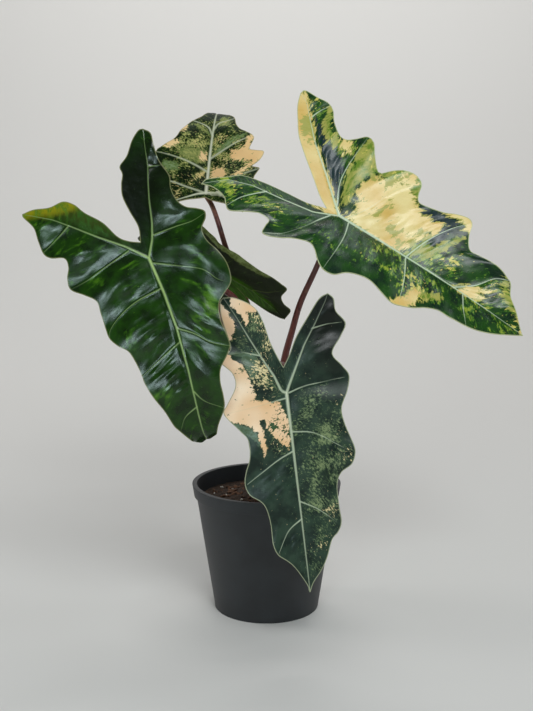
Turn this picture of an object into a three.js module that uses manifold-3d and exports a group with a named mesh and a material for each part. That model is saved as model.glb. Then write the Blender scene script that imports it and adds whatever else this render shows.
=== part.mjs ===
// Potted variegated alocasia: five arrow-shaped leaves on petioles that stand round
// a short rootstock in a plain round pot of soil. Millimetres, +Z up, the pot's
// underside centred on the origin, the leaves' show side towards -Y.
import * as THREE from 'three';
import { mergeVertices } from 'three/addons/utils/BufferGeometryUtils.js';
import Module from 'manifold-3d';

// Pot, soil and rootstock
const POT_HEIGHT = 118;
const POT_BOTTOM_RADIUS = 48;
const POT_TOP_RADIUS = 66;
const POT_WALL = 2.2;
const POT_FLOOR = 2.5;
const RIM_HEIGHT = 11;
const RIM_REACH = 2.2;
const POT_SEGMENTS = 40;
const DRAIN_RADIUS = 4;
const DRAIN_CIRCLE = 34;
const DRAIN_COUNT = 6;
const SOIL_EDGE = 104;
const SOIL_CROWN = 109;
const SOCKET_RADIUS = 17;
const SOCKET_DEPTH = 24;
const CLEARANCE = 0.3;
const SHOULDER = 111;
const CORE_RADIUS = 5.4;
const CORE_TOP = 139;

// Leaf blades and petioles. The ribs' depth stands out of the underside, and the
// rows of a blade keep their spacing apart.
const BLADE = 0.9;
const RIB_DEPTH = 2.4;
const RIB_TIP_DEPTH = 0.2;
const COLUMNS = [0, 0.07, 0.34, 0.68, 1];
const INNER_COLUMNS = [0, 0.2, 1];
const PETIOLE_SIDES = 10;
const PETIOLE_RINGS = 22;
const PETIOLE_TOP_RADIUS = 2.6;
const PETIOLE_BASE_RADIUS = 4.6;
const BASE_CIRCLE = 10.6;
const BASE_HEIGHT = SHOULDER + CLEARANCE;
const BASE_RISE = 18;
const STUB = 7;
const ROW_SPACING = 2.5;
const WAVE_LENGTH = 46;
const WAVE_FADE = 25;
const QUILT = 1.6;

// Each outline is in the flat blade's own millimetres: along the midrib from the
// point where the petiole joins, then across it. "right" is the half on the
// viewer's right when the tip hangs down and the upper face shows.
const LEAVES = {
  front: {
    place: [16.4, -105, 223.4], tip: [0.12, -0.12, -0.98], face: [0.05, -1, 0.1],
    length: 172, rear: 85, half: 55, droop: 6, droopPower: 1.5, rearDroop: 0, rearPower: 1,
    fold: [4, 4], curl: [-4, -4], wave: 1.6,
    tipPoint: [168, 0], sinus: [-21.5, 0],
    midrib: [[0, 0], [60, 0], [120, 0]],
    right: {
      margin: [[-77, 43], [-72, 47.5], [-62, 48], [-51, 55], [-41, 50], [-28, 41], [-17, 48], [-8, 53],
        [4, 50], [17, 43.5], [30, 44.5], [49, 50], [57, 50], [65, 46], [71, 37], [81, 32.5], [98, 32],
        [112, 32.5], [120, 29], [126, 23], [140, 17], [151, 11], [160, 4]],
      inner: [[-73, 35], [-58, 23], [-44.5, 13], [-31, 6]],
      rib: [[-6.5, 3], [-18, 9], [-37.5, 19], [-54, 30], [-72, 41]],
      veins: [[[-50, 27], [-52, 52]], [[0, 2], [-7, 49]], [[32, 0], [54, 46]], [[90, 0], [112, 29]]],
    },
    left: {
      margin: [[-83.5, -42], [-80, -45], [-69, -45.5], [-55, -43], [-42, -41], [-37, -46], [-31, -50],
        [-21, -42], [-10, -41], [3, -49], [11, -53], [26, -42], [35, -36], [49, -36.5], [61, -41],
        [71, -43], [80, -40], [86, -32], [93, -28], [107, -26], [123, -26], [132, -23], [138.5, -16],
        [146, -10], [161, -2]],
      inner: [[-82, -32], [-73, -18], [-60, -12], [-44, -8.5], [-31, -4]],
      rib: [[-2, -4], [-15, -8.5], [-31, -17], [-48, -25], [-68, -34]],
      veins: [[[-33, -18], [-37, -44]], [[4, 0], [11, -51]], [[48, 0], [71, -41]], [[105, 0], [131, -22]]],
    },
  },
  right: {
    place: [62.9, -20, 362.5], tip: [0.84, -0.22, -0.5], face: [0, -0.88, 0.47],
    length: 190, rear: 115, half: 65, droop: 10, droopPower: 1.5, rearDroop: 0, rearPower: 1,
    fold: [10, 34], curl: [-6, -8], wave: 1.8,
    tipPoint: [189, -1], sinus: [-13, 0],
    midrib: [[0, 0], [60, 0], [130, 0]],
    right: {
      margin: [[-91, 80], [-89, 85], [-76, 85], [-66, 87], [-58, 83], [-50, 72], [-40, 64], [-33, 64],
        [-26, 70.5], [-19, 77], [-11, 75], [-2, 63], [8, 53.5], [16, 60], [27, 67], [37.5, 69],
        [45, 65], [48, 54], [52, 48], [59, 48], [72, 52], [84, 58], [95, 60], [101, 56], [104, 46],
        [111, 37], [121, 37], [139, 37], [152, 34], [157, 31], [162.5, 21], [176, 10], [183, 4]],
      inner: [[-86.5, 68], [-78, 55], [-69, 43], [-54, 30], [-38, 17.5], [-23.5, 6]],
      rib: [[-30, 26], [-54, 46], [-72, 65], [-82, 76]],
      veins: [[[-70, 63], [-63, 85]], [[-6, 6], [-18, 76]], [[6, 0], [42, 66]], [[68, 0], [99, 57]],
        [[116, 0], [153, 33]]],
    },
    left: {
      margin: [[-109, -57], [-99, -54], [-87, -56], [-82, -61], [-76, -65], [-65, -59], [-53, -52],
        [-44, -52], [-43.5, -58], [-41.5, -67], [-34, -67], [-24.5, -62], [-15, -54], [-4.5, -49],
        [3, -54], [10, -62], [18.5, -67], [28, -65], [35, -57], [44, -53], [55.5, -51], [68, -54],
        [79.6, -58], [88.5, -56], [97, -51], [105.6, -42], [115, -36.6], [126, -37], [140.5, -35],
        [156, -28], [170, -19.5], [182, -8]],
      inner: [[-108, -49], [-96, -33.6], [-87, -22], [-68, -15], [-47.5, -11], [-29, -8], [-17, -2]],
      rib: [[-19, -15], [-47, -22], [-74, -27], [-94, -37]],
      veins: [[[-62, -24], [-80, -62]], [[-6, -6], [-41, -67]], [[10, 0], [18, -67]], [[68, 0], [88, -57]],
        [[126, 0], [141, -34]]],
    },
  },
  left: {
    place: [-93.2, -115, 334.8], tip: [0.29, -0.2, -0.92], face: [-0.15, -1, 0.25],
    length: 185, rear: 120, half: 75, droop: 115, droopPower: 4, rearDroop: 0, rearPower: 1,
    fold: [6, 6], curl: [-4, -4], wave: 1.2,
    tipPoint: [198, -9], sinus: [-14, -3],
    midrib: [[0, 0], [30, 3.5], [60, 5], [95, 3.5], [120, 0.5], [150, -4]],
    right: {
      margin: [[-99, 26], [-94, 31], [-85, 31], [-71, 31], [-57, 35.5], [-47, 34], [-36.5, 35.6],
        [-29.5, 40.6], [-25.6, 48.5], [-21.5, 54], [-16, 53.4], [-8.4, 48], [1, 49], [11.6, 55],
        [23, 59], [34, 59], [40, 56.4], [46, 48.7], [52, 43], [63.6, 41], [74.6, 42], [85, 42],
        [92, 37], [100.5, 29], [110, 25.5], [122.5, 23.6], [134, 20], [148, 11], [159, 8], [171, 6], [185, 0]],
      inner: [[-99, 22], [-93, 14.6], [-83, 7], [-77, -1], [-70, -1], [-63, -4], [-53, -6], [-40, -4], [-26, -1]],
      rib: [[-13, 7], [-26, 11], [-43, 14], [-57.6, 17.6], [-69, 21], [-88, 24]],
      veins: [[[-69, 22], [-67, 32]], [[-16, 8], [-20, 54]], [[5, 2], [39, 57]], [[60, 5], [86, 42]],
        [[112, 2], [133, 20]]],
    },
    left: {
      margin: [[-65, -88], [-62, -88], [-51, -82], [-40, -82], [-29.5, -81], [-24, -76], [-20, -65],
        [-12.5, -64], [-4, -68], [5, -68], [13, -58], [20.6, -50], [31, -50], [43.6, -50], [52, -49],
        [60, -43.6], [66, -37.5], [75, -35], [87, -33.5], [94, -33], [106, -30], [119.5, -26],
        [135, -23.5], [143, -20], [153, -17], [166, -16], [182, -14]],
      inner: [[-65.5, -78], [-63, -65], [-64, -53], [-59, -45], [-50, -38.6], [-38, -27], [-24, -19], [-18, -12]],
      rib: [[-14, -15], [-28, -34], [-44, -54], [-52.5, -65], [-59, -77]],
      veins: [[[-44, -54], [-30, -81]], [[-10, -14], [5, -68]], [[26, 3], [52, -49]], [[71, 4], [88, -33]],
        [[125, 0], [141, -20]]],
    },
  },
  top: {
    place: [-55.9, 50, 379.6], tip: [0.09, 0.34, 0.93], face: [0, -0.9, 0.3],
    length: 128, rear: 45, half: 50, droop: 105, droopPower: 2.1, rearDroop: -65, rearPower: 0.5,
    fold: [6, 6], curl: [-14, -10], wave: 1.2,
    tipPoint: [128, 0], sinus: [-5, 0],
    midrib: [[0, 0], [40, 0], [85, 0]],
    right: {
      margin: [[-28, 46], [-22, 54], [-10, 56], [2, 52], [12, 44], [20, 46], [30, 50], [38, 53], [44, 51.5],
        [46, 48.5], [49.5, 42.5], [52.5, 36.5], [57, 33], [63, 31], [67.5, 28.5], [73, 25.5], [78, 22.5],
        [82, 18.5], [87, 13], [97, 8.5], [110, 5], [120, 2]],
      inner: [[-22, 38], [-15, 28], [-10, 17], [-7.5, 8]],
      rib: [[-2, 8], [-6, 16], [-10.5, 25.5], [-18, 35]],
      veins: [[[0, 2], [10, 45]], [[20, 0], [41, 52]], [[59, 0], [80, 21]]],
    },
    left: {
      margin: [[-19, -36], [-13, -43], [-3, -46], [6, -44], [14, -42], [21, -43], [26.5, -46], [30, -47],
        [30.5, -40], [36, -44.5], [42, -48], [48, -49.7], [50, -48.5], [48.5, -42], [48, -36], [54, -37.3],
        [60, -38.8], [64, -38.5], [67.5, -35], [70.5, -30], [73, -24.5], [77.5, -21], [80.5, -20],
        [88, -18], [97, -12], [110, -7], [120, -3]],
      inner: [[-15, -29], [-11.5, -21], [-10, -14], [-8.5, -7]],
      rib: [[0.5, -11], [-4, -18], [-11, -26]],
      veins: [[[0, -2], [-8, -44]], [[10, 0], [29, -46]], [[33, 0], [65, -37]], [[66, 0], [86, -18]]],
    },
  },
  rear: {
    place: [-47.7, 20, 313.2], tip: [-0.569, -0.0255, 0.822], face: [0.55, 0.731, 0.404],
    length: 95, rear: 75, half: 38, droop: 80, droopPower: 1.3, rearDroop: 0, rearPower: 1,
    fold: [0, 4], curl: [-3, -5], wave: 0.8,
    tipPoint: [95, 0], sinus: [-26, 11],
    midrib: [[0, 0], [30, 0], [65, 0]],
    right: {
      margin: [[-71, 41], [-66, 55], [-58, 53], [-51, 57], [-47, 70], [-40, 66], [-31, 60], [-23, 54],
        [-14, 48], [-6, 42], [0, 38], [8, 32], [17, 28], [24, 29], [31, 28], [39, 28], [50, 27],
        [60, 20], [72, 18], [84, 9]],
      inner: [[-67, 35], [-57, 26], [-46, 19], [-37, 14]],
      rib: [[-16, 13], [-34, 27], [-58, 38]],
      veins: [[[-34, 27], [-47, 68]], [[0, 0], [-2, 39]], [[25, 0], [48, 27]], [[55, 0], [72, 17]]],
    },
    left: {
      margin: [[-76, -18], [-68, -30], [-56, -36], [-44, -34], [-36, -31], [-24, -40], [-8, -43], [8, -38],
        [20, -37], [32, -40], [46, -36], [58, -26], [70, -23], [84, -12]],
      inner: [[-70, -3], [-60, 5], [-47, 11], [-36, 13]],
      rib: [[-14, -3], [-34, -8], [-58, -15]],
      veins: [[[-34, -8], [-52, -36]], [[0, 0], [-8, -43]], [[20, 0], [34, -39]], [[52, 0], [68, -22]]],
    },
  },
};

// Where each petiole passes between the rootstock and its blade, and how far round
// the rootstock it starts, in degrees from +X
const PETIOLES = {
  front: { azimuth: 279, path: [[3, -15, 165], [8, -30, 215], [13, -58, 243], [15.8, -84, 240]] },
  right: { azimuth: 345, path: [[9, -4, 180], [15, -4, 228], [23.3, -6, 261], [29.8, -8, 284], [44.4, -13, 318], [56, -9, 346]] },
  left: { azimuth: 215, path: [[-11, -14, 175], [-13, -26, 240], [-25, -45, 290], [-36, -60, 303], [-58, -78, 322], [-80, -93, 333]] },
  top: { azimuth: 82, path: [[-1, 22, 175], [-6, 33, 235], [-13, 36, 263], [-23, 38, 292], [-37, 43, 328], [-45, 50, 353], [-51, 58, 368]] },
  rear: { azimuth: 150, path: [[-15, 9, 165], [-26, 15, 215], [-36, 16, 255], [-44, 15, 283], [-50, 14, 299]] },
};

const radians = THREE.MathUtils.degToRad;
const clamp = THREE.MathUtils.clamp;

// Turn a list of triangle corners into one indexed body.
function body(corners) {
  const geometry = new THREE.BufferGeometry();
  geometry.setAttribute('position', new THREE.Float32BufferAttribute(corners, 3));
  return mergeVertices(geometry, 1e-4);
}

// The leaf's own axes: along to the tip, across, and out of the upper face.
function leafAxes(leaf) {
  const along = new THREE.Vector3(...leaf.tip).normalize();
  const out = new THREE.Vector3(...leaf.face);
  out.addScaledVector(along, -out.dot(along)).normalize();
  return { along, across: new THREE.Vector3().crossVectors(out, along), out };
}

function bendAngle(leaf, a) {
  const front = radians(leaf.droop) * clamp(a / leaf.length, 0, 2) ** leaf.droopPower;
  const back = radians(leaf.rearDroop) * clamp(-a / leaf.rear, 0, 2) ** leaf.rearPower;
  return front - back;
}

// Position along the bent midrib, by stepping along its length.
function spine(leaf, a) {
  const steps = Math.max(1, Math.ceil(Math.abs(a)));
  const step = a / steps;
  let x = 0;
  let z = 0;
  for (let i = 0; i < steps; i += 1) {
    const angle = bendAngle(leaf, (i + 0.5) * step);
    x += Math.cos(angle) * step;
    z -= Math.sin(angle) * step;
  }
  return { x, z };
}

// A point of the flat outline on the bent, folded blade.
function surface(leaf, a, b, lift = 0) {
  const side = b > 0 ? 0 : 1;
  const fold = radians(leaf.fold[side] + leaf.curl[side] * Math.abs(b) / leaf.half);
  const bend = bendAngle(leaf, a);
  const at = spine(leaf, a);
  const rise = Math.abs(b) * Math.sin(fold) + lift;
  const axes = leafAxes(leaf);
  return new THREE.Vector3(...leaf.place)
    .addScaledVector(axes.along, at.x + rise * Math.sin(bend))
    .addScaledVector(axes.across, b * Math.cos(fold))
    .addScaledVector(axes.out, at.z + rise * Math.cos(bend));
}

function lengths(points) {
  const total = [0];
  for (let i = 1; i < points.length; i += 1) {
    total.push(total[i - 1] + Math.hypot(points[i][0] - points[i - 1][0], points[i][1] - points[i - 1][1]));
  }
  return total;
}

// The point at a distance along a path.
function walk(points, total, distance) {
  let i = 1;
  while (i < points.length - 1 && total[i] < distance) i += 1;
  const part = clamp((distance - total[i - 1]) / (total[i] - total[i - 1]), 0, 1);
  return points[i].map((value, k) => points[i - 1][k] + part * (value - points[i - 1][k]));
}

// The distance along a path of its point nearest to another point.
function nearest(points, total, target) {
  let best = Infinity;
  let found = 0;
  for (let distance = 0; distance <= total.at(-1); distance += 0.5) {
    const [a, b] = walk(points, total, distance);
    const gap = Math.hypot(a - target[0], b - target[1]);
    if (gap < best) {
      best = gap;
      found = distance;
    }
  }
  return found;
}

// Rows from the ribs to the margin: each vein ties a place on the ribs to one on
// the margin, the rows between share out evenly, and one row starts where the
// petiole joins. The blade swells between its veins and waves along its edge.
function outerRows(leaf, half) {
  const lobe = [half.margin[0], ...[...half.rib].reverse(), [0, 0]];
  const ribs = [...lobe, ...leaf.midrib.slice(1), leaf.tipPoint];
  const margin = [...half.margin, leaf.tipPoint];
  const ribTotal = lengths(ribs);
  const marginTotal = lengths(margin);
  const lobeLength = lengths(lobe).at(-1);
  const ties = half.veins.map(([from, to]) => [nearest(margin, marginTotal, to), nearest(ribs, ribTotal, from)]);
  const anchors = [[0, 0], ...ties, [marginTotal.at(-1), ribTotal.at(-1)]];
  const tie = (value, from, to) => {
    let k = 1;
    while (k < anchors.length - 1 && anchors[k][from] < value) k += 1;
    const part = (value - anchors[k - 1][from]) / (anchors[k][from] - anchors[k - 1][from]);
    return anchors[k - 1][to] + part * (anchors[k][to] - anchors[k - 1][to]);
  };
  const joint = tie(lobeLength, 1, 0);
  const places = marginTotal.filter((s) => Math.abs(s - joint) > ROW_SPACING);
  const rows = [...places, joint].sort((p, q) => p - q).map((s) => {
    const onRib = s === joint ? lobeLength : tie(s, 0, 1);
    const ends = Math.min(1, Math.min(s, marginTotal.at(-1) - s) / WAVE_FADE);
    const next = clamp(anchors.findIndex((anchor) => anchor[0] > s), 1, anchors.length - 1);
    const phase = (s - anchors[next - 1][0]) / (anchors[next][0] - anchors[next - 1][0]);
    return {
      rib: walk(ribs, ribTotal, onRib),
      edge: walk(margin, marginTotal, s),
      past: onRib - lobeLength,
      ribDepth: ribDepth(Math.min(onRib / lobeLength, (ribTotal.at(-1) - onRib) / (ribTotal.at(-1) - lobeLength))),
      wave: leaf.wave * ends * Math.sin(2 * Math.PI * s / WAVE_LENGTH),
      quilt: QUILT * ends * Math.sin(Math.PI * phase) ** 2,
    };
  });
  return rows;
}

// How far a rib stands out of the underside, from 0 at its tip to 1 at its root.
function ribDepth(part) {
  return RIB_TIP_DEPTH + (RIB_DEPTH - RIB_TIP_DEPTH) * clamp(part, 0, 1);
}

function between(row, part) {
  return {
    a: row.rib[0] + part * (row.edge[0] - row.rib[0]),
    b: row.rib[1] + part * (row.edge[1] - row.rib[1]),
    lift: row.wave * part ** 2 + row.quilt * 4 * part * (1 - part),
    depth: part === 0 ? row.ribDepth : 0,
  };
}

// Places along the midrib that both halves share.
function midribPoints(leaf, halves) {
  const path = [...leaf.midrib, leaf.tipPoint];
  const total = lengths(path);
  const wanted = halves.flat().map((row) => row.past).filter((past) => past > ROW_SPACING).sort((p, q) => p - q);
  const kept = [0];
  for (const past of wanted) {
    if (past - kept.at(-1) > ROW_SPACING && total.at(-1) - past > ROW_SPACING) kept.push(past);
  }
  kept.push(total.at(-1));
  return kept.map((past) => {
    const [a, b] = walk(path, total, past);
    return { a, b, past, lift: 0, depth: ribDepth(1 - past / total.at(-1)) };
  });
}

// A closed blade: the upper face, an underside that thickens under the ribs, and
// the thin edge all round.
function bladeGeometry(leaf) {
  const points = [];
  const index = new Map();
  const triangles = [];
  const add = (p) => {
    const key = `${p.a.toFixed(2)},${p.b.toFixed(2)}`;
    if (!index.has(key)) {
      index.set(key, points.length);
      points.push({ ...p, at: surface(leaf, p.a, p.b, p.lift), normal: new THREE.Vector3() });
    }
    return index.get(key);
  };
  const triangle = (i, j, k, flip) => {
    if (i !== j && j !== k && i !== k) triangles.push(flip ? [i, k, j] : [i, j, k]);
  };
  const grid = (lines, flip) => {
    const ids = lines.map((line) => line.map(add));
    for (let r = 0; r + 1 < ids.length; r += 1) {
      for (let c = 0; c + 1 < ids[r].length; c += 1) {
        triangle(ids[r][c], ids[r][c + 1], ids[r + 1][c + 1], flip);
        triangle(ids[r][c], ids[r + 1][c + 1], ids[r + 1][c], flip);
      }
    }
  };
  // Join two lines of points that run side by side but aren't spaced alike.
  const zip = (near, far, flip) => {
    let i = 0;
    let j = 0;
    while (i + 1 < near.length || j + 1 < far.length) {
      const stepNear = j + 1 === far.length || (i + 1 < near.length && near[i + 1].past <= far[j + 1].past);
      if (stepNear) {
        triangle(add(near[i]), add(far[j]), add(near[i + 1]), flip);
        i += 1;
      } else {
        triangle(add(near[i]), add(far[j]), add(far[j + 1]), flip);
        j += 1;
      }
    }
  };
  const halves = [outerRows(leaf, leaf.right), outerRows(leaf, leaf.left)];
  const midrib = midribPoints(leaf, halves);
  halves.forEach((rows, side) => {
    const flip = side === 1;
    const half = side === 0 ? leaf.right : leaf.left;
    const lobe = rows.filter((row) => row.past <= 0);
    grid(lobe.map((row) => COLUMNS.map((part) => between(row, part))), !flip);
    const rest = rows.filter((row) => row.past >= 0);
    grid(rest.map((row) => COLUMNS.slice(1).map((part) => between(row, part))), !flip);
    zip(midrib, rest.map((row) => ({ ...between(row, COLUMNS[1]), past: row.past })), !flip);
    const inner = [half.margin[0], ...half.inner, leaf.sinus];
    const total = lengths(inner);
    const innerRows = lobe.map((row, i) => ({
      ...row,
      edge: walk(inner, total, total.at(-1) * i / (lobe.length - 1)),
      wave: 0,
      quilt: 0,
    }));
    grid(innerRows.map((row) => INNER_COLUMNS.map((part) => between(row, part))), flip);
  });
  return thicken(points, triangles);
}

// Give a face its underside and its edge.
function thicken(points, triangles) {
  for (const corners of triangles) {
    const [p, q, r] = corners.map((i) => points[i].at);
    const normal = new THREE.Vector3().crossVectors(q.clone().sub(p), r.clone().sub(p));
    corners.forEach((i) => points[i].normal.add(normal));
  }
  const under = points.map((p) => p.at.clone().addScaledVector(p.normal.normalize(), -(BLADE + p.depth)));
  const corners = [];
  const put = (...list) => list.forEach((v) => corners.push(v.x, v.y, v.z));
  const open = new Map();
  for (const [i, j, k] of triangles) {
    put(points[i].at, points[j].at, points[k].at);
    put(under[i], under[k], under[j]);
    for (const [from, to] of [[i, j], [j, k], [k, i]]) {
      if (!open.delete(`${to},${from}`)) open.set(`${from},${to}`, [from, to]);
    }
  }
  for (const [from, to] of open.values()) {
    put(points[from].at, under[from], under[to]);
    put(points[from].at, under[to], points[to].at);
  }
  return body(corners);
}

// A tapering tube along a curve, closed at both ends.
function taperedTube(curve, startRadius, endRadius) {
  const frames = curve.computeFrenetFrames(PETIOLE_RINGS, false);
  const rings = [];
  for (let i = 0; i <= PETIOLE_RINGS; i += 1) {
    const part = i / PETIOLE_RINGS;
    const radius = endRadius + (startRadius - endRadius) * (1 - part) ** 1.6;
    const centre = curve.getPointAt(part);
    const ring = [];
    for (let k = 0; k < PETIOLE_SIDES; k += 1) {
      const turn = 2 * Math.PI * k / PETIOLE_SIDES;
      ring.push(centre.clone()
        .addScaledVector(frames.normals[i], radius * Math.cos(turn))
        .addScaledVector(frames.binormals[i], radius * Math.sin(turn)));
    }
    rings.push({ centre, ring });
  }
  const corners = [];
  const put = (...list) => list.forEach((v) => corners.push(v.x, v.y, v.z));
  for (let k = 0; k < PETIOLE_SIDES; k += 1) {
    const next = (k + 1) % PETIOLE_SIDES;
    const [first, last] = [rings[0], rings.at(-1)];
    put(first.centre, first.ring[next], first.ring[k]);
    put(last.centre, last.ring[k], last.ring[next]);
    for (let i = 0; i < PETIOLE_RINGS; i += 1) {
      const [low, high] = [rings[i].ring, rings[i + 1].ring];
      put(low[k], low[next], high[next]);
      put(low[k], high[next], high[k]);
    }
  }
  return body(corners);
}

// From its seat on the rootstock to just short of the rib under its blade.
function petioleGeometry(leaf, petiole) {
  const turn = radians(petiole.azimuth);
  const seat = new THREE.Vector3(BASE_CIRCLE * Math.cos(turn), BASE_CIRCLE * Math.sin(turn), BASE_HEIGHT);
  const { out } = leafAxes(leaf);
  const joint = new THREE.Vector3(...leaf.place).addScaledVector(out, -(BLADE + RIB_DEPTH + CLEARANCE));
  const curve = new THREE.CatmullRomCurve3([
    seat,
    seat.clone().setZ(BASE_HEIGHT + BASE_RISE),
    ...petiole.path.map((p) => new THREE.Vector3(...p)),
    joint.clone().addScaledVector(out, -STUB),
    joint,
  ], false, 'centripetal');
  return taperedTube(curve, PETIOLE_BASE_RADIUS, PETIOLE_TOP_RADIUS);
}

function lathe(profile, segments) {
  return new THREE.LatheGeometry(profile.map(([r, z]) => new THREE.Vector2(r, z)), segments)
    .rotateX(Math.PI / 2);
}

// A closed geometry as a solid for joining and cutting, and back again.
function toSolid(wasm, geometry) {
  const bare = geometry.clone();
  bare.deleteAttribute('normal');
  bare.deleteAttribute('uv');
  const merged = mergeVertices(bare, 1e-4);
  return new wasm.Manifold(new wasm.Mesh({
    numProp: 3,
    vertProperties: new Float32Array(merged.attributes.position.array),
    triVerts: new Uint32Array(merged.index.array),
  }));
}

function fromSolid(solid) {
  const mesh = solid.getMesh();
  const geometry = new THREE.BufferGeometry();
  geometry.setAttribute('position', new THREE.BufferAttribute(mesh.vertProperties, 3));
  geometry.setIndex(new THREE.BufferAttribute(mesh.triVerts, 1));
  return geometry;
}

// A plain tapering pot with a rim band and drain holes through its floor.
function potGeometry(wasm) {
  const wallAt = (z) => POT_BOTTOM_RADIUS + (POT_TOP_RADIUS - POT_BOTTOM_RADIUS) * z / POT_HEIGHT;
  const rimStart = POT_HEIGHT - RIM_HEIGHT;
  let pot = toSolid(wasm, lathe([
    [0, 0],
    [POT_BOTTOM_RADIUS, 0],
    [wallAt(rimStart), rimStart],
    [wallAt(rimStart) + RIM_REACH, rimStart],
    [POT_TOP_RADIUS + RIM_REACH, POT_HEIGHT],
    [POT_TOP_RADIUS - POT_WALL, POT_HEIGHT],
    [wallAt(POT_FLOOR) - POT_WALL, POT_FLOOR],
    [0, POT_FLOOR],
  ], POT_SEGMENTS));
  for (let i = 0; i < DRAIN_COUNT; i += 1) {
    const turn = 2 * Math.PI * (i + 0.5) / DRAIN_COUNT;
    const drain = new THREE.CylinderGeometry(DRAIN_RADIUS, DRAIN_RADIUS, 4 * POT_FLOOR, 16)
      .rotateX(Math.PI / 2)
      .translate(DRAIN_CIRCLE * Math.cos(turn), DRAIN_CIRCLE * Math.sin(turn), POT_FLOOR / 2);
    pot = pot.subtract(toSolid(wasm, drain));
  }
  return fromSolid(pot);
}

// Soil that fills the pot, heaped a little round a socket for the rootstock.
function soilGeometry() {
  const innerAt = (z) => POT_BOTTOM_RADIUS + (POT_TOP_RADIUS - POT_BOTTOM_RADIUS) * z / POT_HEIGHT - POT_WALL - CLEARANCE;
  const bottom = POT_FLOOR + CLEARANCE;
  return lathe([
    [0, bottom],
    [innerAt(bottom), bottom],
    [innerAt(SOIL_EDGE), SOIL_EDGE],
    [44, SOIL_EDGE + 2],
    [30, SOIL_CROWN - 1],
    [SOCKET_RADIUS, SOIL_CROWN],
    [SOCKET_RADIUS, SOIL_CROWN - SOCKET_DEPTH],
    [0, SOIL_CROWN - SOCKET_DEPTH],
  ], POT_SEGMENTS);
}

// The rootstock: a rounded stump in the soil, a flat shoulder for the petioles and
// a slim core between them.
function rootstockGeometry() {
  const bottom = SOIL_CROWN - SOCKET_DEPTH + CLEARANCE;
  const radius = SOCKET_RADIUS - CLEARANCE;
  return lathe([
    [0, bottom],
    [radius - 5, bottom],
    [radius - 1, bottom + 5],
    [radius, bottom + 11],
    [radius, SHOULDER - 2],
    [radius - 1.2, SHOULDER],
    [CORE_RADIUS, SHOULDER],
    [CORE_RADIUS - 0.6, CORE_TOP - 12],
    [CORE_RADIUS - 2.6, CORE_TOP - 3],
    [0, CORE_TOP],
  ], 28);
}

const wasm = await Module();
wasm.setup();

const finish = (color, roughness) => new THREE.MeshStandardMaterial({ color, roughness, metalness: 0 });
const POT_FINISH = finish('#26282a', 0.55);
const SOIL_FINISH = finish('#3b2c20', 1);
const ROOTSTOCK_FINISH = finish('#6d4a35', 0.85);
const PETIOLE_FINISH = finish('#6b3a34', 0.5);
const BLADE_FINISHES = {
  front: finish('#8f9377', 0.35),
  right: finish('#9aa26c', 0.35),
  left: finish('#1f3b16', 0.25),
  top: finish('#7c8a5e', 0.4),
  rear: finish('#3c4412', 0.45),
};

const group = new THREE.Group();
const place = (name, geometry, material) => {
  const mesh = new THREE.Mesh(geometry, material);
  mesh.name = name;
  group.add(mesh);
};
place('pot', potGeometry(wasm), POT_FINISH);
place('soil', soilGeometry(), SOIL_FINISH);
place('rootstock', rootstockGeometry(), ROOTSTOCK_FINISH);
for (const [name, leaf] of Object.entries(LEAVES)) {
  place(`petiole_${name}`, petioleGeometry(leaf, PETIOLES[name]), PETIOLE_FINISH);
  place(`blade_${name}`, bladeGeometry(leaf), BLADE_FINISHES[name]);
}

export default group;
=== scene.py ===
# %% [markdown]
# # A potted variegated alocasia
#
# Five arrow-shaped leaves on long stalks rise from one short rootstock in a pot of
# soil. The solids from the CAD model give every piece its place and size. This
# lesson replaces them with finer pieces: blades with veins and quilting, tapering
# stalks, a crumbly soil surface and a moulded pot.

# %% The frame and the tools
import math

import bpy
import numpy as np
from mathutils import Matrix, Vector, noise


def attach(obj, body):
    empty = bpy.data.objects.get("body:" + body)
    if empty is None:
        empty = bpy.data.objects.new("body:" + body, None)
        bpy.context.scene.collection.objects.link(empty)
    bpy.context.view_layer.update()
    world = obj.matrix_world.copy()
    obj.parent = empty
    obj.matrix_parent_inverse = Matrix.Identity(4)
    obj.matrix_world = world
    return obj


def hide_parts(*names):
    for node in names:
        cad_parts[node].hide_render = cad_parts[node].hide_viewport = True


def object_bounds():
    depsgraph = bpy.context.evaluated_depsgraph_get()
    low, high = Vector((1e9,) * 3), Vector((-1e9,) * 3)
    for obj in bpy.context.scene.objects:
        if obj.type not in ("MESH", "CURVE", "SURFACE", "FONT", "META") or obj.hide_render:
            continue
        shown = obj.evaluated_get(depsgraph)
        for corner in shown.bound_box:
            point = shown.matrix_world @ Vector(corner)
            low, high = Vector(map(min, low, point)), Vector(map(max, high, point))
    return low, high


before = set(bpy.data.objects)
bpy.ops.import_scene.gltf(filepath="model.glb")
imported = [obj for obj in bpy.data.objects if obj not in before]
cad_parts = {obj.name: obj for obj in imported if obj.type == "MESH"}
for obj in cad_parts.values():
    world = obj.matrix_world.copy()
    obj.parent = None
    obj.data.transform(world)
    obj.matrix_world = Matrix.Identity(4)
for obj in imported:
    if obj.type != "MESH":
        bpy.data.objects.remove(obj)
cad_low, cad_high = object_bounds()
MM = 0.001
print("CAD box, m:", [round(v, 3) for v in cad_low], [round(v, 3) for v in cad_high])


def select_only(*pieces):
    """Select some objects and nothing else, the first of them active."""
    bpy.ops.object.select_all(action="DESELECT")
    for piece in pieces:
        piece.select_set(True)
    bpy.context.view_layer.objects.active = pieces[0]


def stand_in(piece, node):
    """Let a fine piece ride on the plant's one body in place of a CAD node."""
    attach(piece, "root")
    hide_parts(node)


# %% [markdown]
# The camera stands where the photograph's camera stood: level with the top of the
# plant and a little over a metre away, tilted ten degrees down. It comes first, so
# that every later cell can be judged through it.

# %% Camera
EYE = (0.0, -1.0537, 0.4218)
TILT_DOWN = 10.0
LENS = 60.0


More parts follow.
